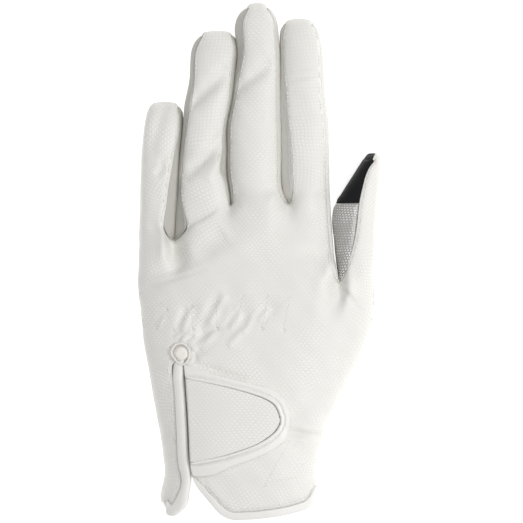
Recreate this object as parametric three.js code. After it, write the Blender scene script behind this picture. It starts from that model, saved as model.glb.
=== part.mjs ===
// A left riding glove of white embossed leather, lying palm down on a flat surface.
//
// Millimetres. X runs from the little finger to the thumb, Y from the cuff to the fingertips and Z up
// out of the back of the hand. The origin lies on the flat of the palm, where the glove rests.
//
// The glove is one hollow skin of four-sided cells, a ring of cells around each finger, the thumb and
// the hand. Its seams run along the cells' edges, and each leather panel is a set of cells given a
// thickness inwards.

import * as THREE from 'three';

// Leather and seams
const LEATHER = 1.2; // thickness of every panel
const SEAM_GAP = 0.3; // clearance between two panels at a seam
const FINGER_GAP = 0.5; // clearance between neighbouring fingers
const LAYER_GAP = 0.4; // clearance between a piece and the panel it lies on

// Hand
const HAND_LENGTH = 141.5; // cuff edge to the root of the index finger
const WRIST_WIDTH = 69;
const PALM_DEPTH = 26;
const WRIST_DEPTH = 33;
const WEB_TOP = 11; // height of the crotch between two fingers, on the back
const WEB_BOTTOM = 4; // height of the same crotch on the palm
const THUMB_WEB_TOP = 17;
const THUMB_WEB_BOTTOM = 5;
const VALLEY_REACH = 9; // how far a crotch's hollow reaches into the back of the hand
const FOLD_DEPTH = 1.7; // depth of the deepest fold in the leather

// Fingers and thumb
const LITTLE_WIDTH = 16;
const RING_WIDTH = 25.4;
const MIDDLE_WIDTH = 25.8;
const INDEX_WIDTH = 18.6;
const THUMB_WIDTH = 16.4;
const LITTLE_LENGTH = 62.4;
const RING_LENGTH = 78.7;
const MIDDLE_LENGTH = 90.4;
const INDEX_LENGTH = 82.1;
const THUMB_LENGTH = 58.5;
const LITTLE_DEPTH = 14.5;
const RING_DEPTH = 16.5;
const MIDDLE_DEPTH = 17;
const INDEX_DEPTH = 16.5;
const THUMB_DEPTH = 18.5;
const TIP_DOME = 2.9; // how far a fingertip rounds over past its last ring

// Vent, cuff and strap
const KEYHOLE_LENGTH = 8.6;
const KEYHOLE_WIDTH = 7.8;
const KEYHOLE_CORD = 1.3; // width of the raised edge round the keyhole
const VENT_GAP = 0.6;
const NOTCH_WIDTH = 7.2; // how far the tab and the cuff part at the vent's foot
const ROLL_WIDTH = 4.5; // width of the rolled edge beside the vent
const ROLL_PROUD = 1.3; // how far it stands above the leather
const UNDERLAP_WIDTH = 13;
const UNDERLAP_THICKNESS = 1;
const TAB_BINDING = 4.8; // width of the rolled edge round the tab
const CUFF_BINDING = 3.4;
const BINDING_PROUD = 0.4;
const STRAP_LENGTH = 45.2;
const STRAP_WIDTH = 49.5; // at its root
const STRAP_THICKNESS = 1.2;
const STRAP_END_BORDER = 3.6; // smooth border at the strap's round end
const OVERLAY_THICKNESS = 0.8;
const PIPING_WIDTH = 1.1;
const PIPING_HEIGHT = 0.9;

// Cells
const CELLS_PER_FINGER = 4; // across the back of a finger
const LOWER_ROWS = 8; // between the cuff binding and the keyhole
const KEYHOLE_ROWS = 4;
const UPPER_ROWS = 5; // between the keyhole and the thumb's root
const KNUCKLE_ROWS = 6; // between the thumb's root and the finger roots
const STRAP_CELLS = 12;
const STRAP_ROWS = 10;
const STRAP_CELL_SPREAD = 0.9; // below 1, so that the strap's cells lie closer at its round end
const UNDERLAP_ROWS = 12;
const KEYHOLE_SIDES = 20;

// Shape of the cross-sections: 2 is an ellipse, more is squarer
const HAND_SQUARENESS = 2.6;
const FINGER_SQUARENESS = 2.3;
const MIDDLE_SHARE = 0.42; // height of a section's widest place, as a share of its top
const FLATTENED = 1.1; // above 1, so that the palm is pressed flat where it rests
const ORIGIN_SHARE = 0.69; // where the origin lies along the hand
const SEAM_INSET = 1.1; // how far the side seams lie in from the outline
const WALL_FULLNESS = 0.6; // below 1, so that a side wall bulges out early
const PALM_CORNER_ANGLE = 32; // degrees below level where a finger's palm side starts
const TIP_HEIGHT_SHARE = 0.45; // height of the tip's edge, as a share of the finger's depth there
const TIP_SQUARENESS = 2.4;
const NARROW_WALL = 1; // points down a narrow side wall
const WIDE_WALL = 3; // points down the thumb's inner wall and the hand's thumb side

const HAND_WIDTH = LITTLE_WIDTH + RING_WIDTH + MIDDLE_WIDTH + INDEX_WIDTH;
const TAPER = HAND_WIDTH - WRIST_WIDTH;

// Outline of the hand. up: share of the hand's length from the cuff edge. left and right: how far the
// outline lies inside the knuckles' width, in shares of the taper. thumb: the thumb's root, in shares of
// its width, added at the right. palm and wrist: height of the back, in shares of the two depths.
const OUTLINE = [
  { up: 0.0, left: 0.6, right: 0.3, thumb: 0, palm: 0, wrist: 0.94 },
  { up: 0.05, left: 0.57, right: 0.3, thumb: 0, palm: 0, wrist: 0.96 },
  { up: 0.09, left: 0.61, right: 0.305, thumb: 0, palm: 0, wrist: 0.98 },
  { up: 0.137, left: 0.69, right: 0.35, thumb: 0, palm: 0, wrist: 1.0 },
  { up: 0.2, left: 0.645, right: 0.34, thumb: 0.05, palm: 0, wrist: 1.0 },
  { up: 0.263, left: 0.58, right: 0.32, thumb: 0.15, palm: 0.05, wrist: 0.93 },
  { up: 0.311, left: 0.5, right: 0.29, thumb: 0.24, palm: 0.12, wrist: 0.86 },
  { up: 0.359, left: 0.43, right: 0.24, thumb: 0.4, palm: 0.25, wrist: 0.74 },
  { up: 0.406, left: 0.36, right: 0.19, thumb: 0.52, palm: 0.38, wrist: 0.62 },
  { up: 0.454, left: 0.3, right: 0.15, thumb: 0.71, palm: 0.5, wrist: 0.5 },
  { up: 0.502, left: 0.22, right: 0.1, thumb: 0.85, palm: 0.62, wrist: 0.38 },
  { up: 0.549, left: 0.15, right: 0.0, thumb: 0.93, palm: 0.72, wrist: 0.28 },
  { up: 0.629, left: 0.075, right: -0.15, thumb: 1.01, palm: 0.88, wrist: 0.13 },
  { up: 0.752, left: -0.025, right: -0.23, thumb: 1.0, palm: 1.02, wrist: 0.02 },
  { up: 0.84, left: 0.0, right: -0.23, thumb: 1.0, palm: 0.96, wrist: 0 },
  { up: 1.0, left: 0.0, right: -0.23, thumb: 1.0, palm: 0.79, wrist: 0 },
];

// Side of the hand above the thumb's root, in shares of the taper inside the knuckles' width.
const RADIAL_SIDE = [
  { up: 0.752, right: -0.23 },
  { up: 0.813, right: -0.126 },
  { up: 0.886, right: -0.063 },
  { up: 0.956, right: -0.02 },
  { up: 1.006, right: 0.0 },
];

// Lines that run down the hand from the finger crotches, as shifts to the right in shares of the taper.
// notch: half the width of the notch at the vent's foot, as a share of the notch's width.
const LINES = [
  { up: 0.0, vent: 0.53, notch: 0.5, ring: 0.126, index: -0.25, radial: -0.66 },
  { up: 0.07, vent: 0.53, notch: 0.5, ring: 0.06, index: -0.3, radial: -0.7 },
  { up: 0.102, vent: 0.525, notch: 0.2, ring: 0.0, index: -0.36, radial: -0.73 },
  { up: 0.121, vent: 0.51, notch: 0.02, ring: -0.03, index: -0.4, radial: -0.75 },
  { up: 0.159, vent: 0.42, notch: 0, ring: -0.08, index: -0.48, radial: -0.77 },
  { up: 0.2, vent: 0.386, notch: 0, ring: -0.12, index: -0.55, radial: -0.78 },
  { up: 0.279, vent: 0.354, notch: 0, ring: -0.177, index: -0.64, radial: -0.76 },
  { up: 0.38, vent: 0.31, notch: 0, ring: -0.16, index: -0.6, radial: -0.58 },
  { up: 0.495, vent: 0.227, notch: 0, ring: -0.126, index: -0.46, radial: -0.3 },
  { up: 0.556, vent: 0.177, notch: 0, ring: -0.1, index: -0.36, radial: -0.1 },
  { up: 0.692, vent: 0.05, notch: 0, ring: -0.06, index: -0.18, radial: 0.17 },
  { up: 0.752, vent: 0.03, notch: 0, ring: -0.05, index: -0.12, radial: 0.23 },
  { up: 1.01, vent: 0.0, notch: 0, ring: 0, index: 0, radial: 0 },
];

// Rows of cells that the others lie between, at each line, in shares of the hand's length.
const CONTROL_ROWS = {
  columns: [0, 4, 8, 12, 16, 20],
  keyhole: [0.463, 0.495, 0.515, 0.52, 0.52, 0.515],
  thumb: [0.68, 0.698, 0.722, 0.74, 0.752, 0.745],
  crotch: [0.845, 0.883, 0.994, 1.0, 1.006],
};

// Cuff edge under each column of cells, in shares of the hand's length. binding: width of the rolled
// edge round the tab, as a share of its full width.
const TAB_EDGE = [
  { column: 0, up: 0.05, binding: 0.6 },
  { column: 1, up: 0.02, binding: 0.7 },
  { column: 2, up: 0.011, binding: 1 },
  { column: 3, up: 0.016, binding: 1 },
  { column: 4, up: 0.045, binding: 1 },
];
const CUFF_EDGE = [
  { column: 4, up: 0.102 },
  { column: 5, up: 0.052 },
  { column: 6, up: 0.022 },
  { column: 7, up: 0.006 },
  { column: 8, up: 0.0 },
  { column: 10, up: 0.003 },
  { column: 12, up: 0.012 },
  { column: 14, up: 0.02 },
  { column: 16, up: 0.031 },
  { column: 18, up: 0.042 },
  { column: 20, up: 0.066 },
];
const PALM_EDGE = [
  { column: 0, up: 0.06 },
  { column: 2, up: 0.1 },
  { column: 4, up: 0.136 },
  { column: 8, up: 0.13 },
  { column: 12, up: 0.104 },
  { column: 16, up: 0.082 },
  { column: 20, up: 0.066 },
];

// The keyhole from its foot to its top: how far each side lies from the vent, in shares of its width.
const KEYHOLE = [
  { left: 0.0, right: 0.0 },
  { left: 0.43, right: 0.32 },
  { left: 0.57, right: 0.43 },
  { left: 0.52, right: 0.35 },
  { left: 0.0, right: 0.0 },
];

// Fingers. along: share of the length from the root. left and right: the outline, in shares of the width.
// seamLeft and seamRight: where the back panel's seams lie across the finger, from 0 at its left side
// to 1 at its right.
const LITTLE_SHAPE = [
  { along: -0.1, left: 0.0, right: 1.0, seamLeft: 0.06, seamRight: 0.9 },
  { along: 0.0, left: 0.0, right: 1.0, seamLeft: 0.06, seamRight: 0.85 },
  { along: 0.08, left: 0.01, right: 1.01, seamLeft: 0.06, seamRight: 0.72 },
  { along: 0.144, left: 0.02, right: 1.02, seamLeft: 0.06, seamRight: 0.715 },
  { along: 0.303, left: 0.035, right: 1.08, seamLeft: 0.06, seamRight: 0.75 },
  { along: 0.455, left: 0.05, right: 1.1, seamLeft: 0.06, seamRight: 0.81 },
  { along: 0.613, left: 0.07, right: 1.13, seamLeft: 0.06, seamRight: 0.89 },
  { along: 0.772, left: 0.133, right: 1.2, seamLeft: 0.06, seamRight: 0.935 },
  { along: 0.924, left: 0.222, right: 1.215, seamLeft: 0.06, seamRight: 0.935 },
  { along: 0.955, left: 0.28, right: 1.16, seamLeft: 0.06, seamRight: 0.94 },
];
const RING_SHAPE = [
  { along: -0.2, left: 0.0, right: 1.0, seamLeft: 0.2, seamRight: 0.97 },
  { along: -0.097, left: -0.005, right: 1.0, seamLeft: 0.2, seamRight: 0.97 },
  { along: 0.0, left: 0.0, right: 0.99, seamLeft: 0.2, seamRight: 0.97 },
  { along: 0.06, left: 0.035, right: 0.97, seamLeft: 0.18, seamRight: 0.97 },
  { along: 0.135, left: 0.065, right: 0.935, seamLeft: 0.1, seamRight: 0.96 },
  { along: 0.215, left: 0.095, right: 0.91, seamLeft: 0.03, seamRight: 0.87 },
  { along: 0.31, left: 0.12, right: 0.918, seamLeft: 0.03, seamRight: 0.93 },
  { along: 0.429, left: 0.16, right: 0.91, seamLeft: 0.03, seamRight: 0.96 },
  { along: 0.6, left: 0.21, right: 1.01, seamLeft: 0.07, seamRight: 0.96 },
  { along: 0.714, left: 0.28, right: 1.05, seamLeft: 0.07, seamRight: 0.95 },
  { along: 0.863, left: 0.305, right: 1.105, seamLeft: 0.06, seamRight: 0.95 },
  { along: 0.931, left: 0.38, right: 1.1, seamLeft: 0.06, seamRight: 0.95 },
  { along: 0.963, left: 0.45, right: 1.05, seamLeft: 0.06, seamRight: 0.95 },
];
const MIDDLE_SHAPE = [
  { along: 0.0, left: 0.0, right: 1.0, seamLeft: 0.03, seamRight: 0.96 },
  { along: 0.05, left: -0.012, right: 0.9, seamLeft: 0.03, seamRight: 0.96 },
  { along: 0.09, left: -0.035, right: 0.87, seamLeft: 0.03, seamRight: 0.96 },
  { along: 0.179, left: -0.07, right: 0.863, seamLeft: 0.03, seamRight: 0.96 },
  { along: 0.308, left: -0.062, right: 0.862, seamLeft: 0.03, seamRight: 0.96 },
  { along: 0.402, left: -0.056, right: 0.854, seamLeft: 0.03, seamRight: 0.96 },
  { along: 0.462, left: -0.004, right: 0.848, seamLeft: 0.03, seamRight: 0.96 },
  { along: 0.612, left: 0.072, right: 0.843, seamLeft: 0.04, seamRight: 0.96 },
  { along: 0.741, left: 0.12, right: 0.835, seamLeft: 0.1, seamRight: 0.96 },
  { along: 0.856, left: 0.07, right: 0.8, seamLeft: 0.17, seamRight: 0.96 },
  { along: 0.91, left: 0.11, right: 0.775, seamLeft: 0.14, seamRight: 0.95 },
  { along: 0.967, left: 0.25, right: 0.66, seamLeft: 0.1, seamRight: 0.94 },
];
const INDEX_SHAPE = [
  { along: 0.0, left: 0.0, right: 0.995, seamLeft: 0.1, seamRight: 0.94 },
  { along: 0.055, left: -0.14, right: 0.993, seamLeft: 0.165, seamRight: 0.94 },
  { along: 0.115, left: -0.16, right: 0.99, seamLeft: 0.17, seamRight: 0.94 },
  { along: 0.2, left: -0.165, right: 0.985, seamLeft: 0.17, seamRight: 0.94 },
  { along: 0.296, left: -0.165, right: 0.98, seamLeft: 0.152, seamRight: 0.94 },
  { along: 0.444, left: -0.18, right: 0.955, seamLeft: 0.108, seamRight: 0.93 },
  { along: 0.586, left: -0.188, right: 0.89, seamLeft: 0.08, seamRight: 0.92 },
  { along: 0.67, left: -0.19, right: 0.865, seamLeft: 0.055, seamRight: 0.935 },
  { along: 0.751, left: -0.19, right: 0.84, seamLeft: 0.03, seamRight: 0.95 },
  { along: 0.866, left: -0.19, right: 0.79, seamLeft: 0.03, seamRight: 0.97 },
  { along: 0.948, left: -0.18, right: 0.68, seamLeft: 0.04, seamRight: 0.97 },
  { along: 0.968, left: -0.13, right: 0.62, seamLeft: 0.05, seamRight: 0.96 },
];
const THUMB_SHAPE = [
  { along: 0.0, left: 0.0, right: 1.0, seamLeft: 0.06, seamRight: 0.94 },
  { along: 0.1, left: -0.08, right: 1.01, seamLeft: 0.22, seamRight: 0.94 },
  { along: 0.23, left: -0.11, right: 1.03, seamLeft: 0.39, seamRight: 0.94 },
  { along: 0.37, left: -0.165, right: 1.05, seamLeft: 0.5, seamRight: 0.94 },
  { along: 0.508, left: -0.19, right: 1.08, seamLeft: 0.55, seamRight: 0.94 },
  { along: 0.623, left: -0.065, right: 1.115, seamLeft: 0.53, seamRight: 0.94 },
  { along: 0.742, left: 0.235, right: 1.14, seamLeft: 0.47, seamRight: 0.94 },
  { along: 0.838, left: 0.44, right: 1.18, seamLeft: 0.43, seamRight: 0.94 },
  { along: 0.892, left: 0.565, right: 1.185, seamLeft: 0.48, seamRight: 0.94 },
  { along: 0.94, left: 0.69, right: 1.16, seamLeft: 0.6, seamRight: 0.94 },
];
const THUMB_TOUCH_SHARE = 0.6; // where the touch tip starts along the thumb

// Height of a finger along its length, in shares of its depth.
const FINGER_HEIGHT = [
  { along: 0.0, top: 1.12, bottom: -0.06 },
  { along: 0.15, top: 1.07, bottom: -0.04 },
  { along: 0.45, top: 1.0, bottom: 0.05 },
  { along: 0.75, top: 0.94, bottom: 0.02 },
  { along: 0.9, top: 0.8, bottom: -0.03 },
  { along: 0.97, top: 0.62, bottom: 0.03 },
];

// Rows of cells along each finger, in shares of the way from its root to its last ring.
const LONG_FINGER_ROWS = [0.06, 0.14, 0.23, 0.32, 0.41, 0.5, 0.59, 0.68, 0.77, 0.86, 0.94, 1.0];
const SHORT_FINGER_ROWS = [0.09, 0.2, 0.32, 0.44, 0.56, 0.68, 0.8, 0.92, 1.0];
const THUMB_ROWS = [0.09, 0.2, 0.31, 0.42, 0.53, 0.638, 0.75, 0.86, 0.94, 1.0];

// Folds in the leather of the back, as straight valleys. Places are shares of the hand's width, from its
// middle, and of its length, from the cuff edge. width and depth are shares of the deepest fold's.
const FOLDS = [
  { fromX: -0.47, fromY: 0.742, toX: -0.05, toY: 0.897, width: 2.4, depth: 0.8 },
  { fromX: -0.27, fromY: 0.59, toX: -0.22, toY: 0.667, width: 1.1, depth: 0.8 },
  { fromX: -0.155, fromY: 0.59, toX: -0.045, toY: 0.71, width: 1.1, depth: 0.8 },
  { fromX: -0.02, fromY: 0.597, toX: 0.035, toY: 0.654, width: 1.1, depth: 0.7 },
  { fromX: 0.125, fromY: 0.625, toX: 0.185, toY: 0.67, width: 1.1, depth: 0.6 },
  { fromX: -0.19, fromY: 0.527, toX: -0.09, toY: 0.597, width: 1.1, depth: 0.6 },
  { fromX: 0.3, fromY: 0.279, toX: 0.47, toY: 0.26, width: 1.4, depth: 1.0 },
  { fromX: -0.235, fromY: 1.31, toX: -0.073, toY: 1.397, width: 1.5, depth: 0.7 },
  { fromX: -0.225, fromY: 1.1, toX: -0.1, toY: 1.18, width: 1.5, depth: 0.7 },
  { fromX: 0.035, fromY: 1.371, toX: 0.15, toY: 1.425, width: 1.5, depth: 0.6 },
  { fromX: -0.49, fromY: 1.08, toX: -0.385, toY: 1.11, width: 1.3, depth: 0.6 },
];

// Outline of the strap. along: share of its length from the root. upper and lower: its edges, in shares
// of its width at the root, from its middle line.
const STRAP_SHAPE = [
  { along: 0.0, upper: 0.5, lower: 0.5 },
  { along: 0.19, upper: 0.435, lower: 0.49 },
  { along: 0.42, upper: 0.375, lower: 0.41 },
  { along: 0.68, upper: 0.315, lower: 0.325 },
  { along: 0.81, upper: 0.285, lower: 0.265 },
  { along: 0.92, upper: 0.21, lower: 0.195 },
  { along: 0.975, upper: 0.12, lower: 0.115 },
  { along: 1.0, upper: 0.03, lower: 0.03 },
];
const STRAP_HEIGHT_SHARE = 0.314; // where the strap's middle line lies along the hand

// Line of the raised edge on the strap, in the same shares, but of its own length.
const PIPING_SHAPE = [
  { along: 0.0, upper: 0.387, lower: 0.388 },
  { along: 0.306, upper: 0.338, lower: 0.342 },
  { along: 0.554, upper: 0.286, lower: 0.283 },
  { along: 0.718, upper: 0.245, lower: 0.232 },
  { along: 0.85, upper: 0.2, lower: 0.172 },
  { along: 0.955, upper: 0.13, lower: 0.098 },
  { along: 1.0, upper: 0.03, lower: 0.03 },
];

const WHITE_LEATHER = { color: 0xe9e9e6, roughness: 0.55 };
const SMOOTH_WHITE = { color: 0xf1f1ee, roughness: 0.42 };
const SILVER_PAD = { color: 0xc9cccb, roughness: 0.45 };
const BLACK_TOUCH = { color: 0x1d1e20, roughness: 0.6 };
const UNDERLAP_WHITE = { color: 0xf2efe9, roughness: 0.7 };

// A smooth curve through one column of a table, read by another column's value.
function curve(table, key, column) {
  const at = table.map((row) => row[key]);
  const value = table.map((row) => row[column]);
  const last = at.length - 1;
  const slope = (i) => {
    const low = Math.max(i - 1, 0);
    const high = Math.min(i + 1, last);
    return (value[high] - value[low]) / (at[high] - at[low]);
  };
  return (position) => {
    const p = Math.min(Math.max(position, at[0]), at[last]);
    let i = 0;
    while (i < last - 1 && p > at[i + 1]) i += 1;
    const span = at[i + 1] - at[i];
    const t = (p - at[i]) / span;
    const rise = t * t * (3 - 2 * t);
    const bend = slope(i) * t * (1 - t) * (1 - t) - slope(i + 1) * t * t * (1 - t);
    return value[i] + (value[i + 1] - value[i]) * rise + bend * span;
  };
}

// A broken line through evenly listed values, read by column number.
function stepped(columns, values, column) {
  let i = 0;
  while (i < values.length - 2 && column > columns[i + 1]) i += 1;
  const t = (column - columns[i]) / (columns[i + 1] - columns[i]);
  return values[i] + (values[i + 1] - values[i]) * t;
}

const mix = (a, b, t) => a + (b - a) * t;
const smooth = (t) => {
  const c = Math.min(Math.max(t, 0), 1);
  return c * c * (3 - 2 * c);
};
const arch = (across, squareness) => {
  const side = Math.min(Math.abs(2 * across - 1), 1);
  return (1 - side ** squareness) ** (1 / squareness);
};
const handY = (up) => (up - ORIGIN_SHARE) * HAND_LENGTH;
const handUp = (y) => y / HAND_LENGTH + ORIGIN_SHARE;

// The hand's outline and the lines on it, in millimetres, by share of the hand's length.
const outline = Object.fromEntries(
  ['left', 'right', 'thumb', 'palm', 'wrist'].map((name) => [name, curve(OUTLINE, 'up', name)]),
);
const line = Object.fromEntries(
  ['vent', 'notch', 'ring', 'index', 'radial'].map((name) => [name, curve(LINES, 'up', name)]),
);
const radialSide = curve(RADIAL_SIDE, 'up', 'right');
const crotchX = [
  -HAND_WIDTH / 2,
  -HAND_WIDTH / 2 + LITTLE_WIDTH,
  -HAND_WIDTH / 2 + LITTLE_WIDTH + RING_WIDTH,
  HAND_WIDTH / 2 - INDEX_WIDTH,
  HAND_WIDTH / 2,
];
const thumbUp = CONTROL_ROWS.thumb[4];
const leftEdge = (up) => crotchX[0] + outline.left(up) * TAPER;
const wholeRightEdge = (up) => crotchX[4] - outline.right(up) * TAPER + outline.thumb(up) * THUMB_WIDTH;
const handRightEdge = (up) => crotchX[4] - radialSide(up) * TAPER;
const sectionRightEdge = (up) => {
  if (up <= thumbUp) return wholeRightEdge(up);
  const blend = smooth((up - thumbUp) / 0.1);
  return mix(wholeRightEdge(up), handRightEdge(up), blend);
};
const backHeight = (up) => outline.palm(up) * PALM_DEPTH + outline.wrist(up) * WRIST_DEPTH;

// Depth of the folds at a place on the back.
function foldDepth(x, y) {
  let depth = 0;
  for (const fold of FOLDS) {
    const from = new THREE.Vector2(fold.fromX * HAND_WIDTH, handY(fold.fromY));
    const to = new THREE.Vector2(fold.toX * HAND_WIDTH, handY(fold.toY));
    const run = to.clone().sub(from);
    const offset = new THREE.Vector2(x, y).sub(from);
    const t = Math.min(Math.max(offset.dot(run) / run.lengthSq(), 0), 1);
    const distance = offset.sub(run.multiplyScalar(t)).length();
    const width = fold.width * FOLD_DEPTH;
    depth += fold.depth * FOLD_DEPTH * Math.exp(-((distance / width) ** 2));
  }
  return depth;
}

// Height of the back of the hand, without the hollows at the crotches.
function handTop(x, y) {
  const up = handUp(y);
  const left = leftEdge(up);
  const across = (x - left) / (sectionRightEdge(up) - left);
  const top = backHeight(up);
  const rise = arch(across, HAND_SQUARENESS);
  return top * mix(MIDDLE_SHARE, 1, rise) - foldDepth(x, y) * rise;
}

function handBottom(x, y) {
  const up = handUp(y);
  const left = leftEdge(up);
  const across = (x - left) / (sectionRightEdge(up) - left);
  const middle = backHeight(up) * MIDDLE_SHARE;
  return Math.max(middle * (1 - FLATTENED * arch(across, HAND_SQUARENESS)), 0);
}

// The skin: points, and cells that each belong to a panel. Corners run anticlockwise seen from outside.
class Skin {
  constructor() {
    this.points = [];
    this.cells = [];
  }

  add(x, y, z) {
    this.points.push(new THREE.Vector3(x, y, z));
    return this.points.length - 1;
  }

  cell(panel, ...corners) {
    this.cells.push({ panel, corners });
  }

  // Cells between two rings, one for each step around them. panelOf gives a step's panel or null.
  band(lower, upper, panelOf) {
    lower.forEach((point, i) => {
      const next = (i + 1) % lower.length;
      const panel = panelOf(i);
      if (panel) this.cell(panel, point, lower[next], upper[next], upper[i]);
    });
  }

  normals() {
    const sums = this.points.map(() => new THREE.Vector3());
    for (const { corners } of this.cells) {
      const [a, b, c, d = a] = corners.map((i) => this.points[i]);
      const normal = c.clone().sub(a).cross(d.clone().sub(b));
      if (corners.length === 3) normal.copy(b.clone().sub(a).cross(c.clone().sub(a)));
      corners.forEach((i) => sums[i].add(normal));
    }
    return sums.map((sum) => sum.normalize());
  }

  // A closed solid from one panel's cells: their outside, raised by proud, an inside that lies depth
  // below it, and a wall round the border, which keeps half a seam's gap to the next panel.
  solid(panel, depth = LEATHER, proud = 0) {
    const normals = this.normals();
    const cells = this.cells.filter((cell) => cell.panel === panel);
    const edges = new Map();
    for (const { corners } of cells) {
      corners.forEach((a, i) => edges.set(`${a}_${corners[(i + 1) % corners.length]}`, [a, i]));
    }
    const border = [];
    for (const { corners } of cells) {
      corners.forEach((a, i) => {
        const b = corners[(i + 1) % corners.length];
        if (!edges.has(`${b}_${a}`)) border.push([a, b]);
      });
    }
    const pull = this.borderPull(border, cells);
    const used = [...new Set(cells.flatMap((cell) => cell.corners))];
    const place = new Map(used.map((id, i) => [id, i]));
    const outer = used.map((id) => {
      const shift = pull.get(id) ?? new THREE.Vector3();
      return this.points[id].clone().add(shift).addScaledVector(normals[id], proud);
    });
    const inner = outer.map((point, i) => point.clone().addScaledVector(normals[used[i]], -depth));
    const count = used.length;
    const triangles = [];
    for (const { corners } of cells) {
      const c = corners.map((id) => place.get(id));
      const halves = c.length === 3 ? [c] : splitCell(c, outer);
      for (const [i, j, k] of halves) triangles.push([i, j, k], [count + k, count + j, count + i]);
    }
    for (const [from, to] of border) {
      const a = place.get(from);
      const b = place.get(to);
      // Both panels of a seam split its wall the same way, so that a twisted wall stays clear.
      if (from < to) triangles.push([a, count + b, b], [a, count + a, count + b]);
      else triangles.push([a, count + a, b], [b, count + a, count + b]);
    }
    return closedGeometry([...outer, ...inner], triangles);
  }

  // How far each border point draws back into its own panel, towards its neighbours inside the panel.
  borderPull(border, cells) {
    const edge = (a, b) => (a < b ? `${a}_${b}` : `${b}_${a}`);
    const outside = new Set(border.map(([a, b]) => edge(a, b)));
    const arriving = new Map(border.map(([a, b]) => [b, a]));
    const inward = new Map(border.map(([a]) => [a, new THREE.Vector3()]));
    const fallback = new Map(border.map(([a]) => [a, new THREE.Vector3()]));
    for (const { corners } of cells) {
      corners.forEach((a, i) => {
        const count = corners.length;
        for (const b of [corners[(i + 1) % count], corners[(i + count - 1) % count]]) {
          if (!inward.has(a)) continue;
          const run = this.points[b].clone().sub(this.points[a]).normalize();
          if (!outside.has(edge(a, b))) inward.get(a).add(run);
          fallback.get(a).add(run);
        }
      });
    }
    const pull = new Map();
    for (const [here, next] of border) {
      const point = this.points[here];
      const into = point.clone().sub(this.points[arriving.get(here)]).normalize();
      const out = this.points[next].clone().sub(point).normalize();
      const free = inward.get(here).length() > 0.1;
      const direction = (free ? inward : fallback).get(here).clone().normalize();
      const square = Math.min(direction.clone().cross(into).length(), direction.clone().cross(out).length());
      pull.set(here, direction.multiplyScalar(SEAM_GAP / 2 / Math.max(square, 0.4)));
    }
    return pull;
  }
}

// Two triangles for a four-sided cell, split along its shorter diagonal.
function splitCell([a, b, c, d], points) {
  const along = points[a].distanceTo(points[c]);
  const across = points[b].distanceTo(points[d]);
  return along <= across ? [[a, b, c], [a, c, d]] : [[a, b, d], [b, c, d]];
}

function closedGeometry(points, triangles) {
  const geometry = new THREE.BufferGeometry();
  const positions = points.flatMap((p) => [p.x, p.y, p.z]);
  geometry.setAttribute('position', new THREE.Float32BufferAttribute(positions, 3));
  geometry.setIndex(triangles.flat());
  geometry.computeVertexNormals();
  return geometry;
}

const skin = new Skin();
const HAND_COLUMNS = 4 * CELLS_PER_FINGER;
const ALL_COLUMNS = HAND_COLUMNS + CELLS_PER_FINGER;
const VENT_COLUMN = CELLS_PER_FINGER;

// Sides of the vent: how far the left and right panel lie from its line, by share of the hand's length.
const ventUp = CONTROL_ROWS.keyhole[1];
const keyholeShare = KEYHOLE_LENGTH / HAND_LENGTH;
function ventOffset(up, side) {
  const position = ((up - ventUp) / keyholeShare) * KEYHOLE_ROWS;
  if (position >= KEYHOLE_ROWS - 0.01) return 0;
  const name = side < 0 ? 'left' : 'right';
  const low = Math.min(Math.max(Math.floor(position), 0), KEYHOLE_ROWS - 1);
  const t = Math.min(Math.max(position - low, 0), 1);
  const bulge = mix(KEYHOLE[low][name], KEYHOLE[low + 1][name], t) * KEYHOLE_WIDTH;
  return side * (VENT_GAP / 2 + bulge + line.notch(up) * NOTCH_WIDTH);
}

// X of a column of the hand's cells. side is -1 left of the vent and 1 right of it.
function handX(column, up, side = 1, split = true) {
  const left = leftEdge(up) + SEAM_INSET;
  const ventLine = crotchX[1] + line.vent(up) * TAPER;
  const ventEdge = (edgeSide) => ventLine + (split ? ventOffset(up, edgeSide) : 0);
  const aboveThumb = up > thumbUp + 1e-6;
  const right = (aboveThumb ? handRightEdge(up) : wholeRightEdge(up)) - SEAM_INSET;
  if (column === VENT_COLUMN) return ventEdge(side);
  if (column < VENT_COLUMN) {
    return mix(left, ventEdge(-1) - ROLL_WIDTH, column / (VENT_COLUMN - 1));
  }
  const stops = [
    ventEdge(1),
    crotchX[2] + line.ring(up) * TAPER,
    crotchX[3] + line.index(up) * TAPER,
    aboveThumb ? right : crotchX[4] + line.radial(up) * TAPER,
    right,
  ];
  return stepped(CONTROL_ROWS.columns.slice(1), stops, column);
}

// Rows of the hand from the cuff to the thumb's root, as shares of its length at a column.
const edgeOf = (table) => (column) =>
  stepped(table.map((row) => row.column), table.map((row) => row.up), column);
const bindingShare = (table, column) =>
  stepped(table.map((row) => row.column), table.map((row) => row.binding), column);
const tabEdge = edgeOf(TAB_EDGE);
const cuffEdge = edgeOf(CUFF_EDGE);
const palmEdge = edgeOf(PALM_EDGE);

// The binding's width, taken square to an edge that slopes.
function bindingUp(column, edge, width, side) {
  const last = side < 0 ? VENT_COLUMN : ALL_COLUMNS;
  const first = edge === cuffEdge ? VENT_COLUMN : 0;
  const low = Math.max(column - 1, first);
  const high = Math.min(column + 1, last);
  const rise = (edge(high) - edge(low)) * HAND_LENGTH;
  const run = handX(high, edge(high), side) - handX(low, edge(low), side);
  const slope = Math.min(Math.hypot(rise, run) / Math.abs(run), 2);
  const share = edge === tabEdge ? bindingShare(TAB_EDGE, column) : 1;
  return (width * share * slope) / HAND_LENGTH;
}

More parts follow.
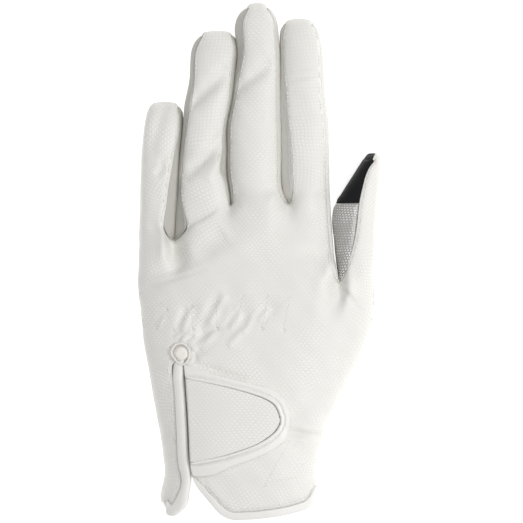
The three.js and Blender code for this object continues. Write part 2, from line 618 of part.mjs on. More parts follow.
const LOWER = LOWER_ROWS + 1;
const KEYHOLE_TOP = LOWER + KEYHOLE_ROWS;
const THUMB_ROW = KEYHOLE_TOP + UPPER_ROWS;
function rowUp(row, column, edge, width, side) {
  const start = edge(column);
  if (row === 0) return start;
  const bound = start + bindingUp(column, edge, width, side);
  const keyhole = stepped(CONTROL_ROWS.columns, CONTROL_ROWS.keyhole, column);
  const thumb = stepped(CONTROL_ROWS.columns, CONTROL_ROWS.thumb, column);
  if (row <= LOWER) return mix(bound, keyhole, (row - 1) / LOWER_ROWS);
  const ventRise = stepped(CONTROL_ROWS.columns, CONTROL_ROWS.thumb, VENT_COLUMN) - ventUp;
  const topShare = keyholeShare / ventRise;
  if (row <= KEYHOLE_TOP) return mix(keyhole, thumb, (topShare * (row - LOWER)) / KEYHOLE_ROWS);
  return mix(keyhole, thumb, mix(topShare, 1, (row - KEYHOLE_TOP) / UPPER_ROWS));
}

// Depth of the hollow that runs into the back of the hand from a crotch.
function valley(distance, height, web) {
  return Math.max(height - web, 0) * Math.exp(-((distance / VALLEY_REACH) ** 2));
}

function backPoint(column, up, side, split) {
  const x = handX(column, up, side, split);
  const y = handY(up);
  let z = handTop(x, y);
  if (column === HAND_COLUMNS && up <= thumbUp) {
    z -= valley(y - handY(thumbUp), z, THUMB_WEB_TOP);
  }
  return skin.add(x, y, z);
}

function palmPoint(column, up) {
  const x = handX(column, up, 1, false);
  const y = handY(up);
  let z = handBottom(x, y);
  if (column === HAND_COLUMNS && up <= thumbUp) {
    z += valley(y - handY(thumbUp), THUMB_WEB_BOTTOM, z);
  }
  return skin.add(x, y, z);
}

// Points down a side wall between a point on the back and one on the palm, bulging out to edgeX.
function wallPoints(top, bottom, edgeX, count) {
  const a = skin.points[top];
  const b = skin.points[bottom];
  return Array.from({ length: count }, (_, i) => {
    const t = (i + 1) / (count + 1);
    const p = a.clone().lerp(b, t);
    p.x = mix(p.x, edgeX, Math.sin(Math.PI * t) ** WALL_FULLNESS);
    return skin.add(p.x, p.y, p.z);
  });
}

const range = (from, to) => Array.from({ length: Math.abs(to - from) + 1 }, (_, i) =>
  from + i * Math.sign(to - from || 1));

// The hand below the thumb's root. A ring runs over the back from left to right, down the thumb's side,
// back over the palm and up the little finger's side. The vent's two sides are two points of the ring.
function buildLowerHand() {
  const rings = [];
  for (let row = 0; row <= THUMB_ROW; row += 1) {
    const open = row < KEYHOLE_TOP;
    const tab = range(0, VENT_COLUMN).map((column) => {
      const up = rowUp(row, column, open ? tabEdge : cuffEdge, TAB_BINDING, -1);
      return backPoint(column, up, -1, open);
    });
    const cuff = range(VENT_COLUMN, ALL_COLUMNS).map((column) => {
      if (!open && column === VENT_COLUMN) return tab[VENT_COLUMN];
      return backPoint(column, rowUp(row, column, cuffEdge, CUFF_BINDING, 1), 1, open);
    });
    const palm = range(ALL_COLUMNS, 0).map((column) =>
      palmPoint(column, rowUp(row, column, palmEdge, CUFF_BINDING, 1)));
    const edgeUp = handUp(skin.points[cuff.at(-1)].y);
    const thumbSide = wallPoints(cuff.at(-1), palm[0], wholeRightEdge(edgeUp), NARROW_WALL);
    const littleUp = handUp(skin.points[tab[0]].y);
    const littleSide = wallPoints(palm.at(-1), tab[0], leftEdge(littleUp), NARROW_WALL);
    rings.push([...tab, ...cuff, ...thumbSide, ...palm, ...littleSide]);
  }
  const tabEnd = VENT_COLUMN;
  const cuffEnd = tabEnd + 1 + HAND_COLUMNS;
  const palmEnd = cuffEnd + 2 + ALL_COLUMNS;
  rings.slice(0, -1).forEach((ring, row) => {
    skin.band(ring, rings[row + 1], (i) => {
      const inRoll = i === tabEnd - 1 && row < LOWER;
      if (i === tabEnd) return null;
      if (row === 0 && i > 0 && i < tabEnd) return 'vent_binding';
      if (row === 0 && i > tabEnd && i < palmEnd) return 'cuff_binding';
      if (inRoll) return 'vent_binding';
      if (i < cuffEnd + 2 || i >= palmEnd) return 'back_panel';
      return 'palm_panel';
    });
  });
  return rings.at(-1);
}

// The hand above the thumb's root, up to the finger crotches.
function buildKnuckles(lastRing, thumbWeb) {
  const first = lastRing;
  const backStart = first.slice(0, VENT_COLUMN + 1).concat(first.slice(VENT_COLUMN + 2));
  const back0 = backStart.slice(0, HAND_COLUMNS + 1);
  const palm0 = backStart.slice(-HAND_COLUMNS - 2, -1);
  let ring = [...back0, ...thumbWeb, ...palm0, backStart.at(-1)];
  for (let row = 1; row <= KNUCKLE_ROWS; row += 1) {
    const t = row / KNUCKLE_ROWS;
    const upAt = (column) => mix(
      stepped(CONTROL_ROWS.columns, CONTROL_ROWS.thumb, column),
      stepped(CONTROL_ROWS.columns, CONTROL_ROWS.crotch, column),
      t,
    );
    const isWeb = (column) => column % CELLS_PER_FINGER === 0 && column > 0 && column < HAND_COLUMNS;
    const webDistance = (column) =>
      (stepped(CONTROL_ROWS.columns, CONTROL_ROWS.crotch, column) - upAt(column)) * HAND_LENGTH;
    const back = range(0, HAND_COLUMNS).map((column) => {
      const id = backPoint(column, upAt(column), 1, false);
      const point = skin.points[id];
      if (isWeb(column)) point.z -= valley(webDistance(column), point.z, WEB_TOP);
      return id;
    });
    const palm = range(HAND_COLUMNS, 0).map((column) => {
      const id = palmPoint(column, upAt(column));
      const point = skin.points[id];
      if (isWeb(column)) point.z += valley(webDistance(column), WEB_BOTTOM, point.z);
      return id;
    });
    const radial = wallPoints(back.at(-1), palm[0], handRightEdge(upAt(HAND_COLUMNS)), WIDE_WALL);
    const little = wallPoints(palm.at(-1), back[0], leftEdge(upAt(0)), NARROW_WALL);
    const next = [...back, ...radial, ...palm, ...little];
    skin.band(ring, next, (i) => {
      const palmEnd = 2 * HAND_COLUMNS + WIDE_WALL + 1;
      return i < HAND_COLUMNS || i >= palmEnd ? 'back_panel' : 'palm_panel';
    });
    ring = next;
  }
  return ring;
}

// Angles around a finger's section, from the left seam over the back, down the right wall, back under
// the palm side and up the left wall. 90 degrees is the middle of the back.
function sectionAngles(seamLeft, seamRight, rightWall, leftWall) {
  const angleOf = (across) => {
    const c = 2 * across - 1;
    return Math.acos(Math.sign(c) * Math.abs(c) ** (FINGER_SQUARENESS / 2));
  };
  const start = angleOf(seamLeft);
  const end = angleOf(seamRight);
  const palmRight = THREE.MathUtils.degToRad(-PALM_CORNER_ANGLE);
  const palmLeft = THREE.MathUtils.degToRad(PALM_CORNER_ANGLE - 180);
  const back = range(0, CELLS_PER_FINGER).map((i) => mix(start, end, i / CELLS_PER_FINGER));
  const right = range(1, rightWall).map((i) => mix(end, palmRight, i / (rightWall + 1)));
  const palm = range(0, CELLS_PER_FINGER).map((i) => mix(palmRight, palmLeft, i / CELLS_PER_FINGER));
  const under = start - 2 * Math.PI;
  const left = range(1, leftWall).map((i) => mix(palmLeft, under, i / (leftWall + 1)));
  return [...back, ...right, ...palm, ...left];
}

// One finger or the thumb, from its root's ring to a domed tip. It lies against the piece at its left,
// given as the x of that piece's right side by y, and never reaches into it.
function buildDigit(spec) {
  const { root, rootX, rootY, width, length, depth, shape, rows, rightWall, leftWall } = spec;
  const table = (name) => curve(shape, 'along', name);
  const [left, right] = [table('left'), table('right')];
  const [seamLeft, seamRight] = [table('seamLeft'), table('seamRight')];
  const topOf = curve(FINGER_HEIGHT, 'along', 'top');
  const bottomOf = curve(FINGER_HEIGHT, 'along', 'bottom');
  const alongOf = (y) => (y - rootY) / length;
  const rightX = (y) => rootX + right(alongOf(y)) * width;
  const leftX = (y) => Math.max(rootX + left(alongOf(y)) * width, spec.neighbour(y) + FINGER_GAP);
  const lastAlong = shape.at(-1).along;
  const lastY = rootY + lastAlong * length;
  const pointAt = (angle, y) => {
    const c = Math.cos(angle);
    const s = Math.sin(angle);
    const power = 2 / FINGER_SQUARENESS;
    const across = 0.5 + 0.5 * Math.sign(c) * Math.abs(c) ** power;
    const along = alongOf(y);
    const top = topOf(along) * depth;
    const bottom = bottomOf(along) * depth;
    const x = mix(leftX(y), rightX(y), across);
    const rise = Math.sign(s) * Math.abs(s) ** power;
    let z = mix(bottom, top, 0.5 + 0.5 * rise);
    if (s > 0) z -= foldDepth(x, y) * rise;
    return [x, y, Math.max(z, 0)];
  };
  let ring = root;
  let angles = [];
  for (const t of rows) {
    const y0 = root.map((id) => mix(skin.points[id].y, lastY, t));
    const along = alongOf(mix(rootY, lastY, t));
    angles = sectionAngles(seamLeft(along), seamRight(along), rightWall, leftWall);
    const next = angles.map((angle, i) => skin.add(...pointAt(angle, y0[i])));
    skin.band(ring, next, (i) => spec.panelOf(i, along));
    ring = next;
  }
  closeTip(ring, angles, spec, (across) => {
    const x = mix(leftX(lastY), rightX(lastY), across);
    const z = depth * mix(bottomOf(1), topOf(1), TIP_HEIGHT_SHARE);
    return skin.add(x, lastY + TIP_DOME * arch(across, TIP_SQUARENESS), Math.max(z, 0));
  });
  return rightX;
}

// The dome over a finger's last ring: a row of points along the tip, joined to the back and the palm.
function closeTip(ring, angles, spec, tipPoint) {
  const n = CELLS_PER_FINGER;
  const { rightWall, leftWall, panelOf } = spec;
  const back = ring.slice(0, n + 1);
  const rightSide = ring.slice(n + 1, n + 1 + rightWall);
  const palm = ring.slice(n + 1 + rightWall, 2 * n + 2 + rightWall).reverse();
  const leftSide = ring.slice(-leftWall).reverse();
  const tip = range(1, n - 1).map((i) => tipPoint(0.5 - 0.5 * Math.cos((Math.PI * i) / n)));
  const leftMiddle = leftSide[(leftWall - 1) / 2];
  const rightMiddle = rightSide[(rightWall - 1) / 2];
  const row = [leftMiddle, ...tip, rightMiddle];
  const backPanel = panelOf(0, 1);
  const palmPanel = panelOf(n + 1 + rightWall, 1);
  const wide = (wall) => wall > 1;
  row.slice(0, -1).forEach((point, i) => {
    const first = i === 0 && wide(leftWall);
    const last = i === n - 1 && wide(rightWall);
    const backLeft = first ? leftSide[0] : point;
    const backRight = last ? rightSide[0] : row[i + 1];
    const palmLeft = first ? leftSide[2] : point;
    const palmRight = last ? rightSide[2] : row[i + 1];
    skin.cell(backPanel, back[i], back[i + 1], backRight, backLeft);
    skin.cell(palmPanel, palm[i + 1], palm[i], palmLeft, palmRight);
  });
  if (wide(leftWall)) {
    skin.cell(backPanel, leftSide[0], tip[0], leftMiddle);
    skin.cell(palmPanel, leftMiddle, tip[0], leftSide[2]);
  }
  if (wide(rightWall)) {
    skin.cell(backPanel, tip.at(-1), rightSide[0], rightMiddle);
    skin.cell(palmPanel, tip.at(-1), rightMiddle, rightSide[2]);
  }
}

// Panels of a digit by the step around its ring: back, right wall, palm side, left wall.
function panels(back, right, palm, left, rightWall) {
  const n = CELLS_PER_FINGER;
  return (i) => {
    if (i < n) return back;
    if (i < n + 1 + rightWall) return right;
    if (i < 2 * n + 1 + rightWall) return palm;
    return left;
  };
}

function buildGlove() {
  const lowerRing = buildLowerHand();
  const merged = lowerRing.slice(0, VENT_COLUMN + 1).concat(lowerRing.slice(VENT_COLUMN + 2));
  const palmAt = (column) => merged[merged.length - 2 - column];
  const webX = skin.points[merged[HAND_COLUMNS]].x;
  const thumbWeb = wallPoints(merged[HAND_COLUMNS], palmAt(HAND_COLUMNS), webX, WIDE_WALL);
  const knuckles = buildKnuckles(lowerRing, thumbWeb);
  const knucklePalm = (column) => knuckles[2 * HAND_COLUMNS + WIDE_WALL + 1 - column];
  const webs = range(1, 3).map((k) => {
    const column = k * CELLS_PER_FINGER;
    const x = skin.points[knuckles[column]].x;
    return wallPoints(knuckles[column], knucklePalm(column), x, NARROW_WALL);
  });
  const radial = knuckles.slice(HAND_COLUMNS + 1, HAND_COLUMNS + 1 + WIDE_WALL);
  const littleSide = [knuckles.at(-1)];
  const walls = [littleSide, ...webs, radial];
  const names = ['fourchette_little_ring', 'fourchette_ring_middle', 'fourchette_middle_index'];
  const sizes = [
    { width: LITTLE_WIDTH, length: LITTLE_LENGTH, depth: LITTLE_DEPTH, shape: LITTLE_SHAPE, up: CONTROL_ROWS.crotch[1] },
    { width: RING_WIDTH, length: RING_LENGTH, depth: RING_DEPTH, shape: RING_SHAPE, up: CONTROL_ROWS.crotch[2] },
    { width: MIDDLE_WIDTH, length: MIDDLE_LENGTH, depth: MIDDLE_DEPTH, shape: MIDDLE_SHAPE, up: CONTROL_ROWS.crotch[3] },
    { width: INDEX_WIDTH, length: INDEX_LENGTH, depth: INDEX_DEPTH, shape: INDEX_SHAPE, up: CONTROL_ROWS.crotch[4] },
  ];
  let neighbour = () => -Infinity;
  sizes.forEach((size, k) => {
    const rightWall = k === sizes.length - 1 ? WIDE_WALL : NARROW_WALL;
    const low = k * CELLS_PER_FINGER;
    const high = low + CELLS_PER_FINGER;
    const root = [
      ...knuckles.slice(low, high + 1),
      ...walls[k + 1],
      ...range(high, low).map(knucklePalm),
      ...walls[k],
    ];
    neighbour = buildDigit({
      ...size,
      root,
      rootX: crotchX[k],
      rootY: handY(size.up),
      rows: k === 0 ? SHORT_FINGER_ROWS : LONG_FINGER_ROWS,
      rightWall,
      leftWall: NARROW_WALL,
      neighbour,
      panelOf: panels('back_panel', names[k] ?? 'palm_panel', 'palm_panel', names[k - 1] ?? 'back_panel',
        rightWall),
    });
  });
  const indexSide = neighbour;
  const thumbSide = (y) => (y > handY(CONTROL_ROWS.crotch[4]) ? indexSide(y) : handRightEdge(handUp(y)));
  const below = panels('back_panel', 'back_panel', 'thumb_pad', 'thumb_pad', NARROW_WALL);
  const above = panels('back_panel', 'back_panel', 'thumb_touch_tip', 'thumb_touch_tip', NARROW_WALL);
  buildDigit({
    width: THUMB_WIDTH,
    length: THUMB_LENGTH,
    depth: THUMB_DEPTH,
    shape: THUMB_SHAPE,
    rows: THUMB_ROWS,
    root: [
      ...merged.slice(HAND_COLUMNS, ALL_COLUMNS + 2),
      ...range(ALL_COLUMNS, HAND_COLUMNS).map(palmAt),
      ...[...thumbWeb].reverse(),
    ],
    rootX: webX,
    rootY: handY(thumbUp),
    rightWall: NARROW_WALL,
    leftWall: WIDE_WALL,
    neighbour: thumbSide,
    panelOf: (i, along) => (along > THUMB_TOUCH_SHARE ? above(i) : below(i)),
  });
}

// A plate that follows the back of the hand. corner(i, j) gives the plan place of a point of its grid.
function layeredPlate(columns, rows, corner, bottomOf, thickness) {
  const points = [];
  const width = columns + 1;
  for (const lift of [thickness, 0]) {
    for (let j = 0; j <= rows; j += 1) {
      for (let i = 0; i <= columns; i += 1) {
        const [x, y] = corner(i / columns, j / rows);
        points.push(new THREE.Vector3(x, y, bottomOf(x, y) + lift));
      }
    }
  }
  const count = width * (rows + 1);
  const triangles = [];
  for (let j = 0; j < rows; j += 1) {
    for (let i = 0; i < columns; i += 1) {
      const a = j * width + i;
      for (const [p, q, r] of splitCell([a, a + 1, a + 1 + width, a + width], points)) {
        triangles.push([p, q, r], [count + r, count + q, count + p]);
      }
    }
  }
  const border = [
    ...range(0, columns).map((i) => i),
    ...range(1, rows).map((j) => j * width + columns),
    ...range(columns - 1, 0).map((i) => rows * width + i),
    ...range(rows - 1, 1).map((j) => j * width),
  ];
  border.forEach((a, i) => {
    const b = border[(i + 1) % border.length];
    triangles.push([a, count + b, b], [a, count + a, count + b]);
  });
  return closedGeometry(points, triangles);
}

// A raised edge that follows a line on the back of the hand, closed on itself or with two ends.
function raisedEdge(path, width, height, bottomOf, closed) {
  const n = path.length;
  const corners = path.map((here, i) => {
    const before = path[closed ? (i - 1 + n) % n : Math.max(i - 1, 0)];
    const after = path[closed ? (i + 1) % n : Math.min(i + 1, n - 1)];
    const run = new THREE.Vector2(after[0] - before[0], after[1] - before[1]).normalize();
    const side = new THREE.Vector2(run.y, -run.x).multiplyScalar(width / 2);
    const base = bottomOf(here[0], here[1]);
    const inner = new THREE.Vector3(here[0] - side.x, here[1] - side.y, base);
    const outer = new THREE.Vector3(here[0] + side.x, here[1] + side.y, base);
    const lift = new THREE.Vector3(0, 0, height);
    return [inner, outer, outer.clone().add(lift), inner.clone().add(lift)];
  });
  const points = corners.flat();
  const triangles = [];
  const steps = closed ? n : n - 1;
  for (let i = 0; i < steps; i += 1) {
    for (let k = 0; k < 4; k += 1) {
      const a = 4 * i + k;
      const b = 4 * i + ((k + 1) % 4);
      const c = 4 * ((i + 1) % n) + ((k + 1) % 4);
      const d = 4 * ((i + 1) % n) + k;
      triangles.push([a, c, b], [a, d, c]);
    }
  }
  if (!closed) {
    const end = 4 * (n - 1);
    triangles.push([0, 1, 2], [0, 2, 3], [end, end + 2, end + 1], [end, end + 3, end + 2]);
  }
  return closedGeometry(points, triangles);
}

const strapY = handY(STRAP_HEIGHT_SHARE);
const ventRight = (y) => crotchX[1] + line.vent(handUp(y)) * TAPER + ventOffset(handUp(y), 1);
const strapLine = (shape, length, rootGap) => ({
  upper: curve(shape, 'along', 'upper'),
  lower: curve(shape, 'along', 'lower'),
  length,
  rootGap,
});
const STRAP_LINE = strapLine(STRAP_SHAPE, STRAP_LENGTH, LAYER_GAP);
const PIPING_LINE = strapLine(PIPING_SHAPE, STRAP_LENGTH - STRAP_END_BORDER, 2 * LAYER_GAP);

// Plan place on the strap. along runs from the vent to the round end and across from the lower edge of
// the line to the upper one. inset draws both edges and the round end in.
function strapPlace(strap, along, across, inset) {
  const half = (edge) => Math.max(edge(along) * STRAP_WIDTH - inset, SEAM_GAP);
  const y = strapY + mix(-half(strap.lower), half(strap.upper), across);
  const root = ventRight(y) + strap.rootGap;
  const tip = ventRight(strapY) + LAYER_GAP + strap.length - inset;
  return [mix(root, tip, along), y];
}

const strapBase = (x, y) => handTop(x, y) + LAYER_GAP;
const overlayBase = (x, y) => strapBase(x, y) + STRAP_THICKNESS + SEAM_GAP;
const evenAlong = (t) => Math.sin((t * Math.PI) / 2) ** STRAP_CELL_SPREAD;

function strapGeometry() {
  const corner = (i, j) => strapPlace(STRAP_LINE, evenAlong(i), j, 0);
  return layeredPlate(STRAP_CELLS, STRAP_ROWS, corner, strapBase, STRAP_THICKNESS);
}

function overlayGeometry() {
  const corner = (i, j) => strapPlace(PIPING_LINE, evenAlong(i), j, PIPING_WIDTH / 2 + SEAM_GAP);
  return layeredPlate(STRAP_CELLS, STRAP_ROWS, corner, overlayBase, OVERLAY_THICKNESS);
}

function pipingGeometry() {
  const start = PIPING_WIDTH / PIPING_LINE.length;
  const side = (across) => range(0, STRAP_CELLS).map((i) =>
    strapPlace(PIPING_LINE, mix(start, 1, evenAlong(i / STRAP_CELLS)), across, 0));
  const path = [...side(0), ...side(1).reverse()];
  return raisedEdge(path, PIPING_WIDTH, PIPING_HEIGHT, overlayBase, false);
}

// The raised edge round the keyhole, just outside the hole.
function keyholeGeometry() {
  const sideX = (name, side) => (t) => {
    const shareAt = stepped([0, 1, 2, 3, 4], KEYHOLE.map((row) => row[name]), t * KEYHOLE_ROWS);
    return side * (VENT_GAP / 2 + shareAt * KEYHOLE_WIDTH + KEYHOLE_CORD * 0.75);
  };
  const rightX = sideX('right', 1);
  const leftX = sideX('left', -1);
  const middle = 0.5;
  const path = range(0, KEYHOLE_SIDES - 1).map((i) => {
    const angle = (2 * Math.PI * i) / KEYHOLE_SIDES;
    const reach = Math.sin(angle) > 0 ? KEYHOLE_CORD : -KEYHOLE_CORD / 2 - SEAM_GAP;
    const t = middle + (middle + reach / KEYHOLE_LENGTH) * Math.sin(angle);
    const up = ventUp + t * keyholeShare;
    const inside = Math.min(Math.max(t, 0), 1);
    const offset = (Math.cos(angle) > 0 ? rightX : leftX)(inside) * Math.abs(Math.cos(angle)) ** 0.5;
    return [crotchX[1] + line.vent(up) * TAPER + offset, handY(up)];
  });
  const base = (x, y) => handTop(x, y) + LAYER_GAP;
  return raisedEdge(path, KEYHOLE_CORD, KEYHOLE_CORD, base, true);
}

function underlapGeometry() {
  const from = rowUp(2, VENT_COLUMN, cuffEdge, CUFF_BINDING, 1);
  const to = ventUp + 1.5 * keyholeShare;
  const bottom = (x, y) => handTop(x, y) - LEATHER * 1.15 - LAYER_GAP - UNDERLAP_THICKNESS;
  const corner = (i, j) => {
    const up = mix(from, to, j);
    const x = crotchX[1] + line.vent(up) * TAPER + (i - 0.5) * UNDERLAP_WIDTH;
    return [x, handY(up)];
  };
  return layeredPlate(CELLS_PER_FINGER, UNDERLAP_ROWS, corner, bottom, UNDERLAP_THICKNESS);
}

function part(name, geometry, finish) {
  const mesh = new THREE.Mesh(geometry, new THREE.MeshStandardMaterial({ ...finish, metalness: 0 }));
  mesh.name = name;
  return mesh;
}

buildGlove();

const glove = new THREE.Group();
glove.add(
  part('back_panel', skin.solid('back_panel'), WHITE_LEATHER),
  part('palm_panel', skin.solid('palm_panel'), WHITE_LEATHER),
  part('fourchette_little_ring', skin.solid('fourchette_little_ring'), WHITE_LEATHER),
  part('fourchette_ring_middle', skin.solid('fourchette_ring_middle'), WHITE_LEATHER),
  part('fourchette_middle_index', skin.solid('fourchette_middle_index'), WHITE_LEATHER),
  part('thumb_pad', skin.solid('thumb_pad'), SILVER_PAD),
  part('thumb_touch_tip', skin.solid('thumb_touch_tip'), BLACK_TOUCH),
  part('vent_binding', skin.solid('vent_binding', LEATHER + ROLL_PROUD, ROLL_PROUD), SMOOTH_WHITE),
  part('cuff_binding', skin.solid('cuff_binding', LEATHER + 2 * BINDING_PROUD, BINDING_PROUD), SMOOTH_WHITE),
  part('keyhole_loop', keyholeGeometry(), SMOOTH_WHITE),
  part('vent_underlap', underlapGeometry(), UNDERLAP_WHITE),
  part('closure_strap', strapGeometry(), SMOOTH_WHITE),
  part('strap_overlay', overlayGeometry(), WHITE_LEATHER),
  part('strap_piping', pipingGeometry(), SMOOTH_WHITE),
);

export default glove;
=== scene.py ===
"""Looks of a left riding glove of white embossed synthetic leather, lying palm down.

Metres, in the frame of the CAD part: X from the little finger to the thumb, Y from the cuff to the
fingertips, Z up out of the back of the hand.
"""

from __future__ import annotations

import logging
import math
from dataclasses import dataclass, field
from enum import Enum

import bmesh
import bpy
import numpy as np
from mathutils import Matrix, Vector
from mathutils.bvhtree import BVHTree
from mathutils.kdtree import KDTree


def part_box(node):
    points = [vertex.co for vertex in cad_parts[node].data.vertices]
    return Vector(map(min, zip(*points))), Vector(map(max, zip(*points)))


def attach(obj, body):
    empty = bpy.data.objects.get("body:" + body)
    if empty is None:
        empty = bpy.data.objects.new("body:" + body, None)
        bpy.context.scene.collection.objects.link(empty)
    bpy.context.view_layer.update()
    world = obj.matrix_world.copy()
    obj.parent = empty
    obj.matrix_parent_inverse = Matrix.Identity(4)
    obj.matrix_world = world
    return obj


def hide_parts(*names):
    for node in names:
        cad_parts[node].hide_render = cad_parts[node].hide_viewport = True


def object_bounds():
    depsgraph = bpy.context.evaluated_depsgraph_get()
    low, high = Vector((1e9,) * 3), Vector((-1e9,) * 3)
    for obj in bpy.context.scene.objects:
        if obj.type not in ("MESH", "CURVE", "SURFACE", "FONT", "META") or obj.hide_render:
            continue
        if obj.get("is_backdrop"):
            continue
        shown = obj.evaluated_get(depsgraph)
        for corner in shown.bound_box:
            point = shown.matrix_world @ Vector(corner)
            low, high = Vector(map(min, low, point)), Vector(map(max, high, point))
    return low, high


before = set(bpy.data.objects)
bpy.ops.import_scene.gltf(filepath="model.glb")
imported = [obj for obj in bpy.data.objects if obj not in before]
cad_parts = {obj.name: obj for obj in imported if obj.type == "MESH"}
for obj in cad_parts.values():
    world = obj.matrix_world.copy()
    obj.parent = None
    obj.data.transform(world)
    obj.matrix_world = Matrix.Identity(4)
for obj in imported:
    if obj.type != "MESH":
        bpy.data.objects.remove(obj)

log = logging.getLogger("glove")
MM = 0.001
LEATHER = 1.2 * MM
UV = "UVMap"
# Points this near are one point, and an edge this near a panel's thickness in length crosses it.
MERGE_GAP = 1e-6
WALL_GAP = 3e-6
# Nothing is divided by less than this.
TINY = 1e-9
# How far apart two triangles may lean, and how skewed they may be, and still make one cell.
LEAN_ANGLE = math.radians(50)
SKEW_ANGLE = math.radians(80)


def linear(code: str) -> tuple[float, float, float, float]:
    """Turns an sRGB hex colour into a linear one.

    Args:
        code: six hex digits.

    Returns:
        Red, green, blue and an alpha of 1.
    """
    parts = [int(code[i : i + 2], 16) / 255 for i in (0, 2, 4)]
    lit = [p / 12.92 if p <= 0.04045 else ((p + 0.055) / 1.055) ** 2.4 for p in parts]
    return (lit[0], lit[1], lit[2], 1.0)


def add_node(
    tree: bpy.types.NodeTree,
    kind: str,
    inputs: dict[int | str, object] | None = None,
    **settings: object,
) -> bpy.types.Node:
    """Adds a node with its settings, values and links.

    Args:
        tree: the node tree.
        kind: the node's type name.
        inputs: a socket to link from, or a value, for each input by name or number.
        settings: the node's own settings.

    Returns:
        The new node.
    """
    node = tree.nodes.new(kind)
    for name, value in settings.items():
        setattr(node, name, value)
    for name, value in (inputs or {}).items():
        if isinstance(value, bpy.types.NodeSocket):
            tree.links.new(value, node.inputs[name])
        else:
            node.inputs[name].default_value = value
    return node


class Emboss(Enum):
    """How the face of a leather or cloth was made."""

    SMOOTH = "smooth"
    GRIP = "grip"
    SCALES = "scales"
    NAP = "nap"
    KNIT = "knit"


@dataclass(frozen=True)
class Patches:
    """Soft patches of a face, from the noise's low level to its high one, and what they leave."""

    size_mm: float
    low: float
    high: float
    least: float


# The grip is pressed less deep in patches, and the tint is darker in others.
WEAR = Patches(19.0, 0.38, 0.6, 0.3)
SHADE = Patches(24.0, 0.35, 0.65, 0.78)
# The size of the tint's mottling on a face that has no cells.
MOTTLE_MM = 3.0
# The rows of cells wander: the scale of that noise, for each metre.
DRIFT_SCALE = 110.0
# How far the silver scales lean across, for each length along.
SCALE_SLANT = 0.3
# The sum of the three waves at a cell's foot and where its top is flat.
CELL_FOOT, CELL_TOP = -1.5, 1.9
# The fine grain on each face: its size and its height, in millimetres.
GRAIN: dict[Emboss, tuple[float, float]] = {
    Emboss.SMOOTH: (0.5, 0.02),
    Emboss.GRIP: (0.45, 0.03),
    Emboss.SCALES: (0.4, 0.02),
    Emboss.NAP: (0.35, 0.16),
    Emboss.KNIT: (0.5, 0.08),
}


